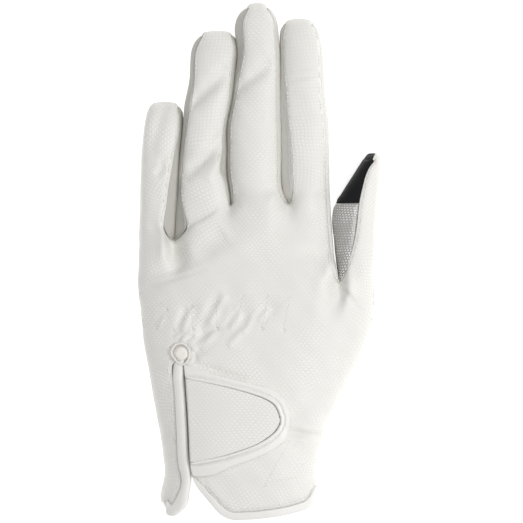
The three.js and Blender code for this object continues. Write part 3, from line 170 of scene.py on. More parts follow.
@dataclass(frozen=True)
class Finish:
    """A leather, cloth or thread: its colour, gloss and pressed pattern, with shade painted into
    the pattern's grooves.
    """

    name: str
    tint: str
    # The darker tint: painted shade in the grooves between pressed cells, and the dark flecks of
    # the mottling on a face with no cells.
    groove_shade_and_mottle_tint: str
    roughness: float
    emboss: Emboss
    across_mm: float = 1.0
    along_mm: float = 1.0
    height_mm: float = 0.0
    metallic: float = 0.0
    sheen: float = 0.0
    specular: float = 0.5

    def cells(self, tree: bpy.types.NodeTree) -> bpy.types.NodeSocket:
        """Adds staggered rows of rounded cells, from 0 between cells to 1 on top of them.

        Args:
            tree: the material's node tree.

        Returns:
            The pattern's output.
        """
        place = add_node(tree, "ShaderNodeUVMap", uv_map=UV).outputs[0]
        drift = add_node(
            tree, "ShaderNodeTexNoise", {"Vector": place, "Scale": DRIFT_SCALE, "Detail": 1.0}
        )
        drift = add_node(
            tree,
            "ShaderNodeVectorMath",
            {0: drift.outputs["Color"], 1: (0.5, 0.5, 0.5)},
            operation="SUBTRACT",
        )
        amount = self.across_mm * MM
        place = add_node(
            tree,
            "ShaderNodeVectorMath",
            {0: drift.outputs[0], 1: (amount,) * 3, 2: place},
            operation="MULTIPLY_ADD",
        ).outputs[0]
        if self.emboss is Emboss.SCALES:
            slant = add_node(
                tree,
                "ShaderNodeVectorMath",
                {0: place, 1: (0.0, SCALE_SLANT, 0.0)},
                operation="DOT_PRODUCT",
            )
            lean = add_node(tree, "ShaderNodeCombineXYZ", {0: slant.outputs["Value"]})
            place = add_node(
                tree, "ShaderNodeVectorMath", {0: place, 1: lean.outputs[0]}, operation="ADD"
            ).outputs[0]
        # Three waves: one across the rows and two along the slanting lines of a staggered grid.
        step_x = math.tau / (self.across_mm * MM)
        step_y = math.tau / (2 * self.along_mm * MM)
        total: bpy.types.NodeSocket | float = 0.0
        for across, along in ((0.0, 2.0), (1.0, 1.0), (1.0, -1.0)):
            turned = add_node(
                tree,
                "ShaderNodeVectorMath",
                {0: place, 1: (across * step_x, along * step_y, 0)},
                operation="DOT_PRODUCT",
            )
            swing = add_node(
                tree, "ShaderNodeMath", {0: turned.outputs["Value"]}, operation="COSINE"
            )
            total = add_node(
                tree, "ShaderNodeMath", {0: swing.outputs[0], 1: total}, operation="ADD"
            ).outputs[0]
        raised = add_node(
            tree,
            "ShaderNodeMapRange",
            {0: total, 1: CELL_FOOT, 2: CELL_TOP},
            interpolation_type="SMOOTHSTEP",
        )
        return raised.outputs[0]

    def fine(self, tree: bpy.types.NodeTree, size_mm: float) -> bpy.types.NodeSocket:
        """Adds fine noise on Object coordinates.

        Args:
            tree: the material's node tree.
            size_mm: the size of its grains.

        Returns:
            The noise's output, from 0 to 1.
        """
        where = add_node(tree, "ShaderNodeTexCoord").outputs["Object"]
        return add_node(
            tree,
            "ShaderNodeTexNoise",
            {"Vector": where, "Scale": 1 / (size_mm * MM), "Detail": 2.0, "Roughness": 0.6},
        ).outputs["Fac"]

    def patches(self, tree: bpy.types.NodeTree, patches: Patches) -> bpy.types.NodeSocket:
        """Adds soft patches.

        Args:
            tree: the material's node tree.
            patches: their size and strength.

        Returns:
            Their output, from the least at their middle to 1 outside them.
        """
        noise = self.fine(tree, patches.size_mm)
        span = {0: noise, 1: patches.low, 2: patches.high, 3: patches.least, 4: 1.0}
        return add_node(tree, "ShaderNodeMapRange", span).outputs[0]

    def height(
        self, tree: bpy.types.NodeTree
    ) -> tuple[bpy.types.NodeSocket, bpy.types.NodeSocket]:
        """Adds the relief of the face.

        Args:
            tree: the material's node tree.

        Returns:
            The height in millimetres, and the share of the first tint: how far each point lies up
            in the cells, so that the grooves take the darker tint as painted shade, and the
            mottling on a face with no cells.
        """
        grain_mm, grain_height = GRAIN[self.emboss]
        grain = add_node(
            tree,
            "ShaderNodeMath",
            {0: self.fine(tree, grain_mm), 1: grain_height},
            operation="MULTIPLY",
        ).outputs[0]
        if self.emboss not in (Emboss.GRIP, Emboss.SCALES):
            return grain, self.fine(tree, MOTTLE_MM)
        worn = self.patches(tree, WEAR)
        cells = add_node(
            tree, "ShaderNodeMath", {0: self.cells(tree), 1: worn}, operation="MULTIPLY"
        ).outputs[0]
        relief = add_node(
            tree,
            "ShaderNodeMath",
            {0: cells, 1: self.height_mm, 2: grain},
            operation="MULTIPLY_ADD",
        )
        return relief.outputs[0], cells

    def material(self) -> bpy.types.Material:
        """The Blender material of this finish, made once."""
        found = bpy.data.materials.get(self.name)
        if found:
            return found
        made = bpy.data.materials.new(self.name)
        made.use_nodes = True
        tree = made.node_tree
        shader = tree.nodes["Principled BSDF"]
        relief, level = self.height(tree)
        # The tint darkens towards the second one as painted shade in the grooves between cells, as
        # mottling on a face with no cells, and in random darker patches.
        shade = self.patches(tree, SHADE)
        amount = add_node(tree, "ShaderNodeMath", {0: level, 1: shade}, operation="MULTIPLY")
        tint = add_node(
            tree,
            "ShaderNodeMix",
            {"Factor": amount.outputs[0], 6: linear(self.groove_shade_and_mottle_tint), 7: linear(self.tint)},
            data_type="RGBA",
        )
        bump = add_node(
            tree, "ShaderNodeBump", {"Strength": 1.0, "Distance": MM, "Height": relief}
        )
        tree.links.new(tint.outputs[2], shader.inputs["Base Color"])
        tree.links.new(bump.outputs["Normal"], shader.inputs["Normal"])
        shader.inputs["Roughness"].default_value = self.roughness
        shader.inputs["Metallic"].default_value = self.metallic
        shader.inputs["Specular IOR Level"].default_value = self.specular
        shader.inputs["Sheen Weight"].default_value = self.sheen
        shader.inputs["Sheen Roughness"].default_value = 0.5
        return made


# Polyurethane leather pressed with a raised grip: soft satin, with a fine rounded grain, and a
# slightly darker shade painted in the grooves between the cells.
GRIP_LEATHER = Finish(
    "pressed_grip_leather",
    tint="F0EEE9",
    groove_shade_and_mottle_tint="E5E3DE",
    roughness=0.5,
    emboss=Emboss.GRIP,
    across_mm=2.07,
    along_mm=1.17,
    height_mm=0.07,
    specular=0.35,
)
# The same leather unpressed, on the bindings and the strap.
PLAIN_LEATHER = Finish(
    "plain_satin_leather",
    tint="F0EEEA",
    groove_shade_and_mottle_tint="E9E7E3",
    roughness=0.42,
    emboss=Emboss.SMOOTH,
    specular=0.4,
)
# The strips between the fingers: thinner, brushed matt, and painted grey as the shade that falls
# between the fingers.
PAINTED_SHADE_STRIP_LEATHER = Finish(
    "strip_leather_painted_grey_shade",
    tint="C8C6BF",
    groove_shade_and_mottle_tint="BCBAB3",
    roughness=0.6,
    emboss=Emboss.SMOOTH,
    specular=0.3,
)
# The strip beside the index finger: the same thin leather, painted a lighter grey as the shade
# there.
LIGHT_PAINTED_SHADE_STRIP_LEATHER = Finish(
    "strip_leather_painted_light_shade",
    tint="DEDCD7",
    groove_shade_and_mottle_tint="D4D2CC",
    roughness=0.6,
    emboss=Emboss.SMOOTH,
    specular=0.3,
)
# Foil-coated leather pressed with small slanting scales: silver, glossier than the rest, with dark
# grey shade painted in the grooves between the scales.
SCALE_LEATHER = Finish(
    "silver_scale_leather",
    tint="FBFAF8",
    groove_shade_and_mottle_tint="A6A4A1",
    roughness=0.36,
    emboss=Emboss.SCALES,
    across_mm=1.3,
    along_mm=1.15,
    height_mm=0.3,
    metallic=0.25,
)
# Conductive microsuede: nearly black, with a nap that scatters the light.
TOUCH_SUEDE = Finish(
    "black_touch_suede",
    tint="17181A",
    groove_shade_and_mottle_tint="0D0E0F",
    roughness=0.85,
    emboss=Emboss.NAP,
    sheen=0.12,
    specular=0.2,
)
# Stretch jersey behind the vent: matt and slightly warm.
JERSEY = Finish(
    "warm_white_jersey",
    tint="FBF7F2",
    groove_shade_and_mottle_tint="F2EDE6",
    roughness=0.8,
    emboss=Emboss.KNIT,
    specular=0.2,
)
# Polyester sewing thread: twisted, with a soft shine.
THREAD = Finish(
    "white_sewing_thread",
    tint="EDEDEA",
    groove_shade_and_mottle_tint="DDDDD9",
    roughness=0.55,
    emboss=Emboss.SMOOTH,
)


def points_of(mesh: bpy.types.Mesh) -> np.ndarray:
    """A mesh's points as an array of rows."""
    flat = np.empty(len(mesh.vertices) * 3)
    mesh.vertices.foreach_get("co", flat)
    return flat.reshape(-1, 3)


def move_points(mesh: bpy.types.Mesh, points: np.ndarray) -> None:
    """Gives a mesh new places for its points."""
    mesh.vertices.foreach_set("co", points.ravel())
    mesh.update()


def normals_of(mesh: bpy.types.Mesh) -> np.ndarray:
    """The way out at a mesh's points, as an array of rows."""
    flat = np.empty(len(mesh.vertices) * 3)
    mesh.vertices.foreach_get("normal", flat)
    return flat.reshape(-1, 3)


def corners_of(mesh: bpy.types.Mesh) -> np.ndarray:
    """The number of the point at each face corner."""
    corner = np.empty(len(mesh.loops), int)
    mesh.loops.foreach_get("vertex_index", corner)
    return corner


def tree_of(points: np.ndarray) -> KDTree:
    """A search tree of points, numbered as they stand."""
    tree = KDTree(len(points))
    for i, point in enumerate(points):
        tree.insert(point, i)
    tree.balance()
    return tree


def select_only(obj: bpy.types.Object) -> None:
    """Makes obj the only selected object, and the active one."""
    for other in bpy.context.selected_objects:
        other.select_set(False)
    obj.select_set(True)
    bpy.context.view_layer.objects.active = obj


def ramp(low: float, high: float, value: np.ndarray) -> np.ndarray:
    """A smooth step from 0 at low to 1 at high."""
    share = np.clip((value - low) / (high - low), 0, 1)
    return share * share * (3 - 2 * share)


def finished(obj: bpy.types.Object, finish: Finish, slot: str, *nodes: str) -> bpy.types.Object:
    """Gives a piece its finish and its place in the frame.

    Args:
        obj: the piece.
        finish: its finish.
        slot: the record's material slot; not used.
        nodes: the CAD nodes that it stands for.

    Returns:
        The piece.
    """
    obj.data.materials.clear()
    obj.data.materials.append(finish.material())
    for face in obj.data.polygons:
        face.use_smooth = True
    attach(obj, "root")
    if nodes:
        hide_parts(*nodes)
    log.info("%s: %d faces", obj.name, len(obj.data.polygons))
    return obj


def join_halves(bm: bmesh.types.BMesh) -> None:
    """Joins the two triangles of each four-sided cell, which share their longest edge.

    Args:
        bm: a mesh of triangles.
    """

    def longest(face: bmesh.types.BMFace) -> bmesh.types.BMEdge:
        return max(face.edges, key=lambda edge: edge.calc_length())

    shared = [
        edge
        for edge in bm.edges
        if len(edge.link_faces) == 2 and all(longest(f) == edge for f in edge.link_faces)
    ]
    bmesh.ops.dissolve_edges(bm, edges=shared, use_verts=False)
    rest = [face for face in bm.faces if len(face.verts) == 3]
    bmesh.ops.join_triangles(
        bm,
        faces=rest,
        angle_face_threshold=LEAN_ANGLE,
        angle_shape_threshold=SKEW_ANGLE,
    )


def copy_node(node: str, name: str) -> tuple[bpy.types.Object, bmesh.types.BMesh]:
    """Starts a piece from a CAD node's own mesh, with its points merged.

    Args:
        node: the CAD node.
        name: the new piece's name.

    Returns:
        The piece, still empty, and its merged mesh of triangles.
    """
    bm = bmesh.new()
    bm.from_mesh(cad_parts[node].data)
    bmesh.ops.remove_doubles(bm, verts=bm.verts, dist=MERGE_GAP)
    obj = bpy.data.objects.new(name, bpy.data.meshes.new(name))
    bpy.context.scene.collection.objects.link(obj)
    return obj, bm


def keep_outside(bm: bmesh.types.BMesh, thickness: float) -> None:
    """Deletes a panel's walls and its inner side, and leaves the outer side as an open sheet.

    Args:
        bm: a panel of triangles.
        thickness: the panel's thickness, which only the edges across its walls are long.
    """
    across = {edge for edge in bm.edges if abs(edge.calc_length() - thickness) < WALL_GAP}
    walls = {face for face in bm.faces if across.intersection(face.edges)}
    sides: list[tuple[float, set[bmesh.types.BMFace]]] = []
    left = set(bm.faces) - walls
    while left:
        todo = [left.pop()]
        side = set(todo)
        while todo:
            for edge in todo.pop().edges:
                for face in edge.link_faces:
                    if face in left:
                        left.discard(face)
                        side.add(face)
                        todo.append(face)
        sides.append((sum(face.calc_area() for face in side), side))
    outside = max(sides, key=lambda side: side[0])[1]
    bmesh.ops.delete(bm, geom=list(set(bm.faces) - outside), context="FACES")


def flatten(obj: bpy.types.Object) -> None:
    """Lays a sheet flat as its UV map, in metres, as the leather was cut, turned along X and Y.

    Args:
        obj: the open sheet.
    """
    select_only(obj)
    bpy.ops.object.mode_set(mode="EDIT")
    bpy.ops.mesh.select_all(action="SELECT")
    bpy.ops.uv.unwrap(method="MINIMUM_STRETCH", margin=0.0)
    bpy.ops.object.mode_set(mode="OBJECT")
    mesh = obj.data
    layer = mesh.uv_layers.active
    layer.name = UV
    flat = np.empty(len(mesh.loops) * 2)
    layer.uv.foreach_get("vector", flat)
    flat = flat.reshape(-1, 2)
    plan = points_of(mesh)[corners_of(mesh)][:, :2]
    area = 0.0
    for face in mesh.polygons:
        ring = flat[list(face.loop_indices)]
        turned = np.roll(ring, -1, 0)
        area += abs(np.sum(ring[:, 0] * turned[:, 1] - ring[:, 1] * turned[:, 0])) / 2
    size = math.sqrt(sum(face.area for face in mesh.polygons) / max(area, TINY))
    flat = (flat - flat.mean(0)) * size
    u, _, v = np.linalg.svd(flat.T @ (plan - plan.mean(0)))
    flat = flat @ (u @ v) + plan.mean(0)
    layer.uv.foreach_set("vector", flat.ravel())


def plan_map(obj: bpy.types.Object) -> None:
    """Gives a nearly level piece a UV map that is its own plan, in metres."""
    mesh = obj.data
    layer = mesh.uv_layers.get(UV) or mesh.uv_layers.new(name=UV)
    layer.uv.foreach_set("vector", points_of(mesh)[corners_of(mesh)][:, :2].ravel())


def subdivide(obj: bpy.types.Object, levels: int, hold: float = 0.9, passes: int = 4) -> None:
    """Rounds a mesh with a Subdivision Surface that still passes near the mesh's own points.

    Args:
        obj: the piece, which the modifier is applied to.
        levels: how often each cell is divided.
        hold: from 0, where the surface pulls in from its points, to 1, where it meets them.
        passes: how often the points are moved out to make up for that.
    """
    mesh = obj.data
    rounding = obj.modifiers.new("rounding", "SUBSURF")
    rounding.boundary_smooth = "PRESERVE_CORNERS"
    rounding.levels = rounding.render_levels = 1
    aim = points_of(mesh)
    control = aim.copy()
    for _ in range(passes):
        bpy.context.view_layer.update()
        shown = obj.evaluated_get(bpy.context.evaluated_depsgraph_get())
        reached = points_of(shown.to_mesh())[: len(aim)]
        shown.to_mesh_clear()
        control += hold * (aim - reached)
        move_points(mesh, control)
    rounding.levels = rounding.render_levels = levels
    select_only(obj)
    bpy.ops.object.modifier_apply(modifier=rounding.name)


# A fold's lip: its distance from the fold and its width, both in widths of the fold.
LIP_PLACE, LIP_WIDTH = 1.9, 1.1
# How soon a fold comes up at its ends: less than 1 is sooner.
END_POWER = 0.4


@dataclass(frozen=True)
class Crease:
    """A fold in the leather, from one point of the plan to another, in millimetres.

    A fold of a depth below 0 is raised. One with a pitch is a row of puckers, that far apart.
    """

    from_x: float
    from_y: float
    to_x: float
    to_y: float
    width: float
    depth: float
    lip: float = 0.0
    pitch: float = 0.0

    def drop(self, x: np.ndarray, y: np.ndarray) -> np.ndarray:
        """How far the leather sinks at each place.

        Args:
            x: places across, in millimetres.
            y: places along, in millimetres.

        Returns:
            Depths in millimetres, with the other sign on the lip left of the fold.
        """
        run_x, run_y = self.to_x - self.from_x, self.to_y - self.from_y
        length = math.hypot(run_x, run_y)
        share = ((x - self.from_x) * run_x + (y - self.from_y) * run_y) / length**2
        side = ((x - self.from_x) * run_y - (y - self.from_y) * run_x) / length
        past = np.maximum(np.maximum(-share, share - 1), 0) * length
        end = np.clip(4 * share * (1 - share), 0, 1) ** END_POWER
        fold = np.exp(-((np.hypot(side, past) / self.width) ** 2))
        beside = np.hypot(side + LIP_PLACE * self.width, past)
        lip = np.exp(-((beside / (LIP_WIDTH * self.width)) ** 2))
        if self.pitch:
            end = end * (0.5 + 0.5 * np.cos(math.tau * share * length / self.pitch))
        return (fold * self.depth - lip * self.lip) * end


# The upward part of the way out where leather begins to be the top, and where it is no side.
TOP_FROM, TOP_TO = 0.15, 0.6
SIDE_FROM, SIDE_TO = 0.4, 0.8
# Folds keep this share of their depth at the border, and all of it in from there, in millimetres.
FOLD_AT_BORDER, FOLD_FROM, FOLD_TO = 0.35, 0.3, 2.4
# The low ridge beside a seam's groove: its height as a share of the groove, place and width.
RIDGE_SHARE, RIDGE_PLACE, RIDGE_WIDTH = 0.3, 2.4, 1.3
# A strip sinks by this share at its border, and fully from this far in.
SUNK_AT_BORDER, SUNK_TO = 0.3, 1.6
# How far in from the border the slack leather, the swelling and the spread begin and end.
SLACK_FROM, SLACK_TO = 1.0, 6.0
INNER_FROM, INNER_TO = 0.4, 2.4
SPREAD_TO = 1.3
# The slack's waves: each one's height, its turn across and along for each millimetre, its start.
SLACK_WAVES = (
    (0.07, 0.31, 0.12, 1.3),
    (0.07, 0.17, -0.27, 0.4),
    (0.042, 0.53, 0.41, 0.0),
    (0.035, 0.11, 0.71, 2.0),
)
# A point on the rim is marked 1, and one between the rim and the leather less.
RIM_MARK = 0.99


@dataclass
class LeatherPanel:
    """A panel of the glove: its outer side divided and folded, and given its thickness again.

    Attributes:
        node: the CAD node.
        finish: its finish.
        slot: the record's material slot.
        finer: whether the outer side's cells are divided once more.
        creases: the folds in it.
        seam_depth: the depth of the groove along its border. This and all below are millimetres.
        seam_width: the groove's width.
        thickness: the CAD wall's thickness, in metres.
        levels: how often each cell is divided.
        puff: how far its border is drawn down, so that it looks stuffed.
        puff_width: how wide the stuffed border is.
        sunk: how far its top lies below the CAD's.
        swell: how far its sides bulge.
        spread: how far its border is pushed out.
        eased: places where a hard step is evened out, each with its reach.
        easing_passes: how often.
        border: the points along its border, in metres.
        inward: the way in from each of them.
    """

    node: str
    finish: Finish
    slot: str
    finer: bool = False
    creases: tuple[Crease, ...] = ()
    seam_depth: float = 0.4
    seam_width: float = 1.0
    thickness: float = LEATHER
    levels: int = 2
    puff: float = 0.0
    puff_width: float = 1.0
    sunk: float = 0.0
    swell: float = 0.0
    spread: float = 0.0
    eased: tuple[tuple[float, float, float], ...] = ()
    easing_passes: int = 220
    border: np.ndarray = field(default_factory=lambda: np.zeros((0, 3)))
    inward: np.ndarray = field(default_factory=lambda: np.zeros((0, 3)))

    def sheet(self) -> bpy.types.Object:
        """The panel's outer side as an open sheet of small cells, laid flat in its UV map."""
        obj, bm = copy_node(self.node, f"{self.node}_leather")
        keep_outside(bm, self.thickness)
        join_halves(bm)
        bm.to_mesh(obj.data)
        bm.free()
        flatten(obj)
        subdivide(obj, self.levels)
        return obj

    def wall(self, obj: bpy.types.Object) -> None:
        """Gives the sheet an inner side and a border wall, and keeps the way out at each point.

        Args:
            obj: the open sheet.
        """
        bm = bmesh.new()
        bm.from_mesh(obj.data)
        bm.normal_update()
        out = bm.verts.layers.float_vector.new("out")
        rim = bm.verts.layers.float.new("rim")
        uv = bm.loops.layers.uv.active
        outer = list(bm.faces)
        border = [edge for edge in bm.edges if edge.is_boundary]
        for vert in bm.verts:
            vert[out] = vert.normal
            vert[rim] = float(vert.is_boundary)
        inner = {}
        for vert in list(bm.verts):
            made = bm.verts.new(vert.co - vert.normal * LEATHER)
            made[out], made[rim] = vert[out], vert[rim]
            inner[vert] = made
        for face in outer:
            lining = bm.faces.new([inner[vert] for vert in reversed(face.verts)])
            for ours, theirs in zip(lining.loops, reversed(face.loops)):
                ours[uv].uv = theirs[uv].uv
        for edge in border:
            loop = edge.link_loops[0]
            a, b = loop.vert, loop.link_loop_next.vert
            bm.faces.new([b, a, inner[a], inner[b]])
        if self.finer:
            edges = list({edge for face in outer for edge in face.edges})
            bmesh.ops.subdivide_edges(bm, edges=edges, cuts=1, use_grid_fill=True)
        bm.to_mesh(obj.data)
        bm.free()

    def shape(self, obj: bpy.types.Object) -> None:
        """Presses the folds and the seams into the leather.

        Args:
            obj: the panel with its walls.
        """
        mesh = obj.data
        points = points_of(mesh)
        # Both attributes were written by wall().
        out = np.empty(len(points) * 3, np.float32)
        mesh.attributes["out"].data.foreach_get("vector", out)
        out = out.reshape(-1, 3).astype(float)
        out /= np.maximum(np.linalg.norm(out, axis=1, keepdims=True), TINY)
        rim = np.empty(len(points), np.float32)
        mesh.attributes["rim"].data.foreach_get("value", rim)
        tree = tree_of(points[rim > RIM_MARK])
        away = np.array([tree.find(point)[2] for point in points]) / MM
        x, y = points[:, 0] / MM, points[:, 1] / MM
        top = ramp(TOP_FROM, TOP_TO, out[:, 2])
        side = 1 - ramp(SIDE_FROM, SIDE_TO, out[:, 2])
        self.ease(mesh, points, away)
        drop = sum((crease.drop(x, y) for crease in self.creases), np.zeros(len(x)))
        held = FOLD_AT_BORDER + (1 - FOLD_AT_BORDER) * ramp(FOLD_FROM, FOLD_TO, away)
        drop *= top * np.where(drop > 0, held, 1.0)
        ridge = np.exp(-(((away - RIDGE_PLACE) / RIDGE_WIDTH) ** 2))
        seam = np.exp(-((away / self.seam_width) ** 2))
        drop += self.seam_depth * (seam - RIDGE_SHARE * ridge)
        drop += self.slack(x, y) * ramp(SLACK_FROM, SLACK_TO, away)
        sunk = SUNK_AT_BORDER + (1 - SUNK_AT_BORDER) * ramp(0.0, SUNK_TO, away)
        drop += self.sunk * top * sunk
        drop -= self.swell * side * ramp(INNER_FROM, INNER_TO, away)
        if self.spread:
            rows = tree_of(self.border)
            ways = np.array([self.inward[rows.find(point)[1]] for point in points])
            points -= ways * (self.spread * MM * (1 - ramp(0.0, SPREAD_TO, away)))[:, None]
        if self.puff:
            down = 1 - np.clip(away / self.puff_width, 0, 1)
            drop += self.puff * (1 - np.sqrt(1 - down**2))
        points -= out * drop[:, None] * MM
        points[:, 2] = np.maximum(points[:, 2], 0.0)
        move_points(mesh, points)

    def ease(self, mesh: bpy.types.Mesh, points: np.ndarray, away: np.ndarray) -> None:
        """Evens out the height round each eased place.

        Args:
            mesh: the panel's mesh.
            points: its points, which are changed.
            away: how far each is from the panel's border, in millimetres.
        """
        ends = np.empty(len(mesh.edges) * 2, int)
        mesh.edges.foreach_get("vertices", ends)
        a, b = ends.reshape(-1, 2).T
        count = len(points)
        links = np.maximum(np.bincount(a, minlength=count) + np.bincount(b, minlength=count), 1)
        share = np.zeros(count)
        for x, y, reach in self.eased:
            gap = np.hypot(points[:, 0] / MM - x, points[:, 1] / MM - y)
            share = np.maximum(share, np.exp(-((gap / reach) ** 4)))
        share *= ramp(INNER_FROM, INNER_TO, away)
        for _ in range(self.easing_passes if self.eased else 0):
            total = np.bincount(a, points[b, 2], count) + np.bincount(b, points[a, 2], count)
            points[:, 2] += share * (total / links - points[:, 2])

    def slack(self, x: np.ndarray, y: np.ndarray) -> np.ndarray:
        """The leather's own slight waves, in millimetres."""
        return sum(
            height * np.sin(across * x + along * y + start)
            for height, across, along, start in SLACK_WAVES
        )

    def keep_border(self, obj: bpy.types.Object) -> None:
        """Keeps the sheet's border and the way in from it, for the seams' stitches.

        Args:
            obj: the open sheet.
        """
        bm = bmesh.new()
        bm.from_mesh(obj.data)
        rows, ways = [], []
        for vert in bm.verts:
            if not vert.is_boundary:
                continue
            inside = [e.other_vert(vert).co for e in vert.link_edges if not e.is_boundary]
            if inside:
                rows.append(vert.co.copy())
                ways.append((sum(inside, Vector()) / len(inside) - vert.co).normalized())
        bm.free()
        self.border, self.inward = np.array(rows), np.array(ways)

    def build(self) -> bpy.types.Object:
        """Makes the panel.

        Returns:
            The finished piece.
        """
        obj = self.sheet()
        self.keep_border(obj)
        self.wall(obj)
        self.shape(obj)
        return finished(obj, self.finish, self.slot, self.node)


@dataclass
class SoftSolid:
    """A small or thin piece whose closed CAD mesh is rounded as it is.

    Its edges are sharp from sharp_deg on, and crispness, from 0 to 1, says how far they stay so.
    """

    node: str
    finish: Finish
    slot: str
    levels: int = 3
    hold: float = 0.9
    crispness: float = 0.0
    sharp_deg: float = 50.0

    def build(self) -> bpy.types.Object:
        """Makes the piece.

        Returns:
            The finished piece.
        """
        obj, bm = copy_node(self.node, f"{self.node}_piece")
        join_halves(bm)
        bm.normal_update()
        crease = bm.edges.layers.float.new("crease_edge")
        for edge in bm.edges:
            if edge.calc_face_angle(0.0) > math.radians(self.sharp_deg):
                edge[crease] = self.crispness
        bm.to_mesh(obj.data)
        bm.free()
        subdivide(obj, self.levels, self.hold)
        plan_map(obj)
        return finished(obj, self.finish, self.slot, self.node)


@dataclass
class HandLeather:
    """The back, the palm and the strips between the fingers."""

    # Folds on the fingers, across the knuckles, at the gathers, beside the roll and at the wrist:
    # where each starts and ends, then its width, depth, lip and pitch.
    folds: tuple[Crease, ...] = (
        Crease(-37.6, 66.0, -31.0, 89.0, 2.8, 0.9, 0.5),
        Crease(-35.2, 55.5, -31.5, 60.5, 1.5, 0.7, 0.3),
        Crease(-34.0, 62.0, -27.0, 66.5, 1.3, 0.5, 0.2),
        Crease(-36.5, 89.4, -26.9, 88.2, 0.5, 0.5),
        Crease(-24.6, 83.6, -2.4, 104.0, 3.2, 2.0, -0.3),
        Crease(-23.4, 54.0, -4.4, 74.0, 3.2, 2.0, -0.3),
        Crease(-15.8, 60.5, -9.5, 66.0, 0.9, 0.5),
        Crease(-12.6, 53.6, -4.8, 65.3, 2.4, -0.8),
        Crease(-1.6, 93.3, 16.8, 106.9, 2.8, 1.5, -0.3),
        Crease(1.3, 109.5, 3.0, 123.0, 2.0, 0.7),
        Crease(25.8, 99.6, 35.8, 100.9, 1.1, 0.35, 0.15),
        Crease(26.0, 95.5, 36.6, 96.4, 1.1, 0.3, 0.15),
        Crease(26.5, 103.2, 35.6, 104.0, 1.0, 0.25),
        Crease(-42.0, 6.0, -4.2, 29.5, 5.0, 1.5),
        Crease(-40.0, 6.6, -12.4, 14.2, 1.0, 0.45, 0.2),
        Crease(-40.0, -2.9, -32.5, -1.1, 1.0, 0.4, 0.15),
        Crease(-23.2, -13.8, -18.9, -3.3, 1.5, -0.9, -0.6),
        Crease(-13.1, -14.1, -3.8, 3.0, 1.7, -1.0, -0.6),
        Crease(-2.0, -13.2, 2.9, -5.1, 1.4, -0.7, -0.4),
        Crease(-15.4, -21.6, -7.8, -13.2, 1.8, -1.0, -0.6),
        Crease(-2.9, -20.4, 4.7, -12.3, 1.5, -0.55, -0.3),
        Crease(4.0, -14.6, 8.4, -6.4, 1.2, -0.45, -0.25),
        Crease(10.9, -9.1, 15.8, -2.9, 1.2, -0.45, -0.2),
        Crease(-34.3, -12.9, -31.2, -6.6, 1.0, -0.35, -0.2),
        Crease(-22.4, -17.8, -18.2, -15.2, 0.9, 0.9, 0.6),
        Crease(-26.8, -16.6, -21.6, -13.2, 0.8, -0.6),
        Crease(-24.3, -18.3, -20.2, -15.8, 0.8, -0.8),
        Crease(-18.6, -22.6, -17.0, -27.6, 1.5, 1.1),
        Crease(-17.6, -28.4, 5.0, -35.2, 1.0, 1.1, -0.2),
        Crease(-18.0, -28.4, 6.0, -35.2, 1.2, 0.4, 0.0, 1.75),
        Crease(-17.6, -27.4, 8.0, -34.4, 1.0, 0.25, 0.0, 1.75),
        Crease(-26.4, -27.0, -24.8, -52.0, 1.7, -0.95),
        Crease(-24.9, -49.0, -23.6, -81.0, 1.7, -0.95),
        Crease(24.2, -58.1, 39.7, -60.8, 1.2, 0.9, 0.5),
        Crease(24.7, -62.6, 31.0, -64.8, 1.0, 0.5, 0.25),
        Crease(46.6, 7.4, 53.6, 0.3, 1.0, 0.4, 0.2),
        Crease(53.6, 0.3, 58.9, -1.5, 0.9, 0.3, 0.15),
        Crease(46.8, 5.6, 57.4, -5.1, 1.0, 0.4, 0.2),
    )
    # Needle holes where the gathering threads turn.
    needle_holes: tuple[tuple[float, float], ...] = (
        (-30.0, -3.8), (-19.3, -2.5), (-7.8, -0.6), (3.8, 2.2), (25.1, 2.6), (-26.7, -13.6),
        (-18.4, -12.6), (12.4, -12.3), (1.2, -5.6), (21.9, -12.9), (-7.8, -12.5),
    )
    hole_reach: float = 0.3
    hole_width: float = 0.6
    hole_depth: float = 0.9
    # The groove that runs inside the cuff's binding.
    cuff_groove: tuple[tuple[float, float], ...] = (
        (-14.6, -77.6), (-11.9, -83.2), (-9.6, -87.4), (-6.6, -90.4), (-2.4, -91.8), (4.0, -92.1),
        (11.3, -91.8), (20.0, -90.6), (30.5, -88.4), (37.0, -84.9),
    )
    groove_width: float = 1.1
    groove_depth: float = 0.25
    # The fingers' roots, where the CAD's rows leave a step, each with its reach.
    roots: tuple[tuple[float, float, float], ...] = (
        (-14.0, 37.0, 12.5), (4.5, 39.0, 9.5), (27.5, 37.5, 9.5),
    )
    # The touch patch's suede wraps over the thumb's end, left of a line that leans to the right.
    cap_left: float = 55.0
    cap_right: float = 60.5
    cap_from_y: float = 61.2
    cap_lean: float = 0.57
    # The strips lie a little below the fingers' backs, and their sides bulge.
    strip_sunk: float = 0.8
    strip_swell: float = 0.5

    def marks(self) -> tuple[Crease, ...]:
        """The folds, the needle holes and the cuff's groove together."""
        reach, width, depth = self.hole_reach, self.hole_width, self.hole_depth
        holes = tuple(
            Crease(x - reach, y, x + reach, y, width, depth) for x, y in self.needle_holes
        )
        groove = tuple(
            Crease(*a, *b, self.groove_width, self.groove_depth)
            for a, b in zip(self.cuff_groove, self.cuff_groove[1:])
        )
        return self.folds + holes + groove

    def cap_thumb(self, leather: bpy.types.Object) -> None:
        """Gives the end of the thumb the touch patch's suede.

        Args:
            leather: the back of the glove.
        """
        leather.data.materials.append(TOUCH_SUEDE.material())
        for face in leather.data.polygons:
            x, y, _ = face.center / MM
            reach = self.cap_right + self.cap_lean * (y - self.cap_from_y)
            if y > self.cap_from_y and self.cap_left < x < reach:
                face.material_index = 1

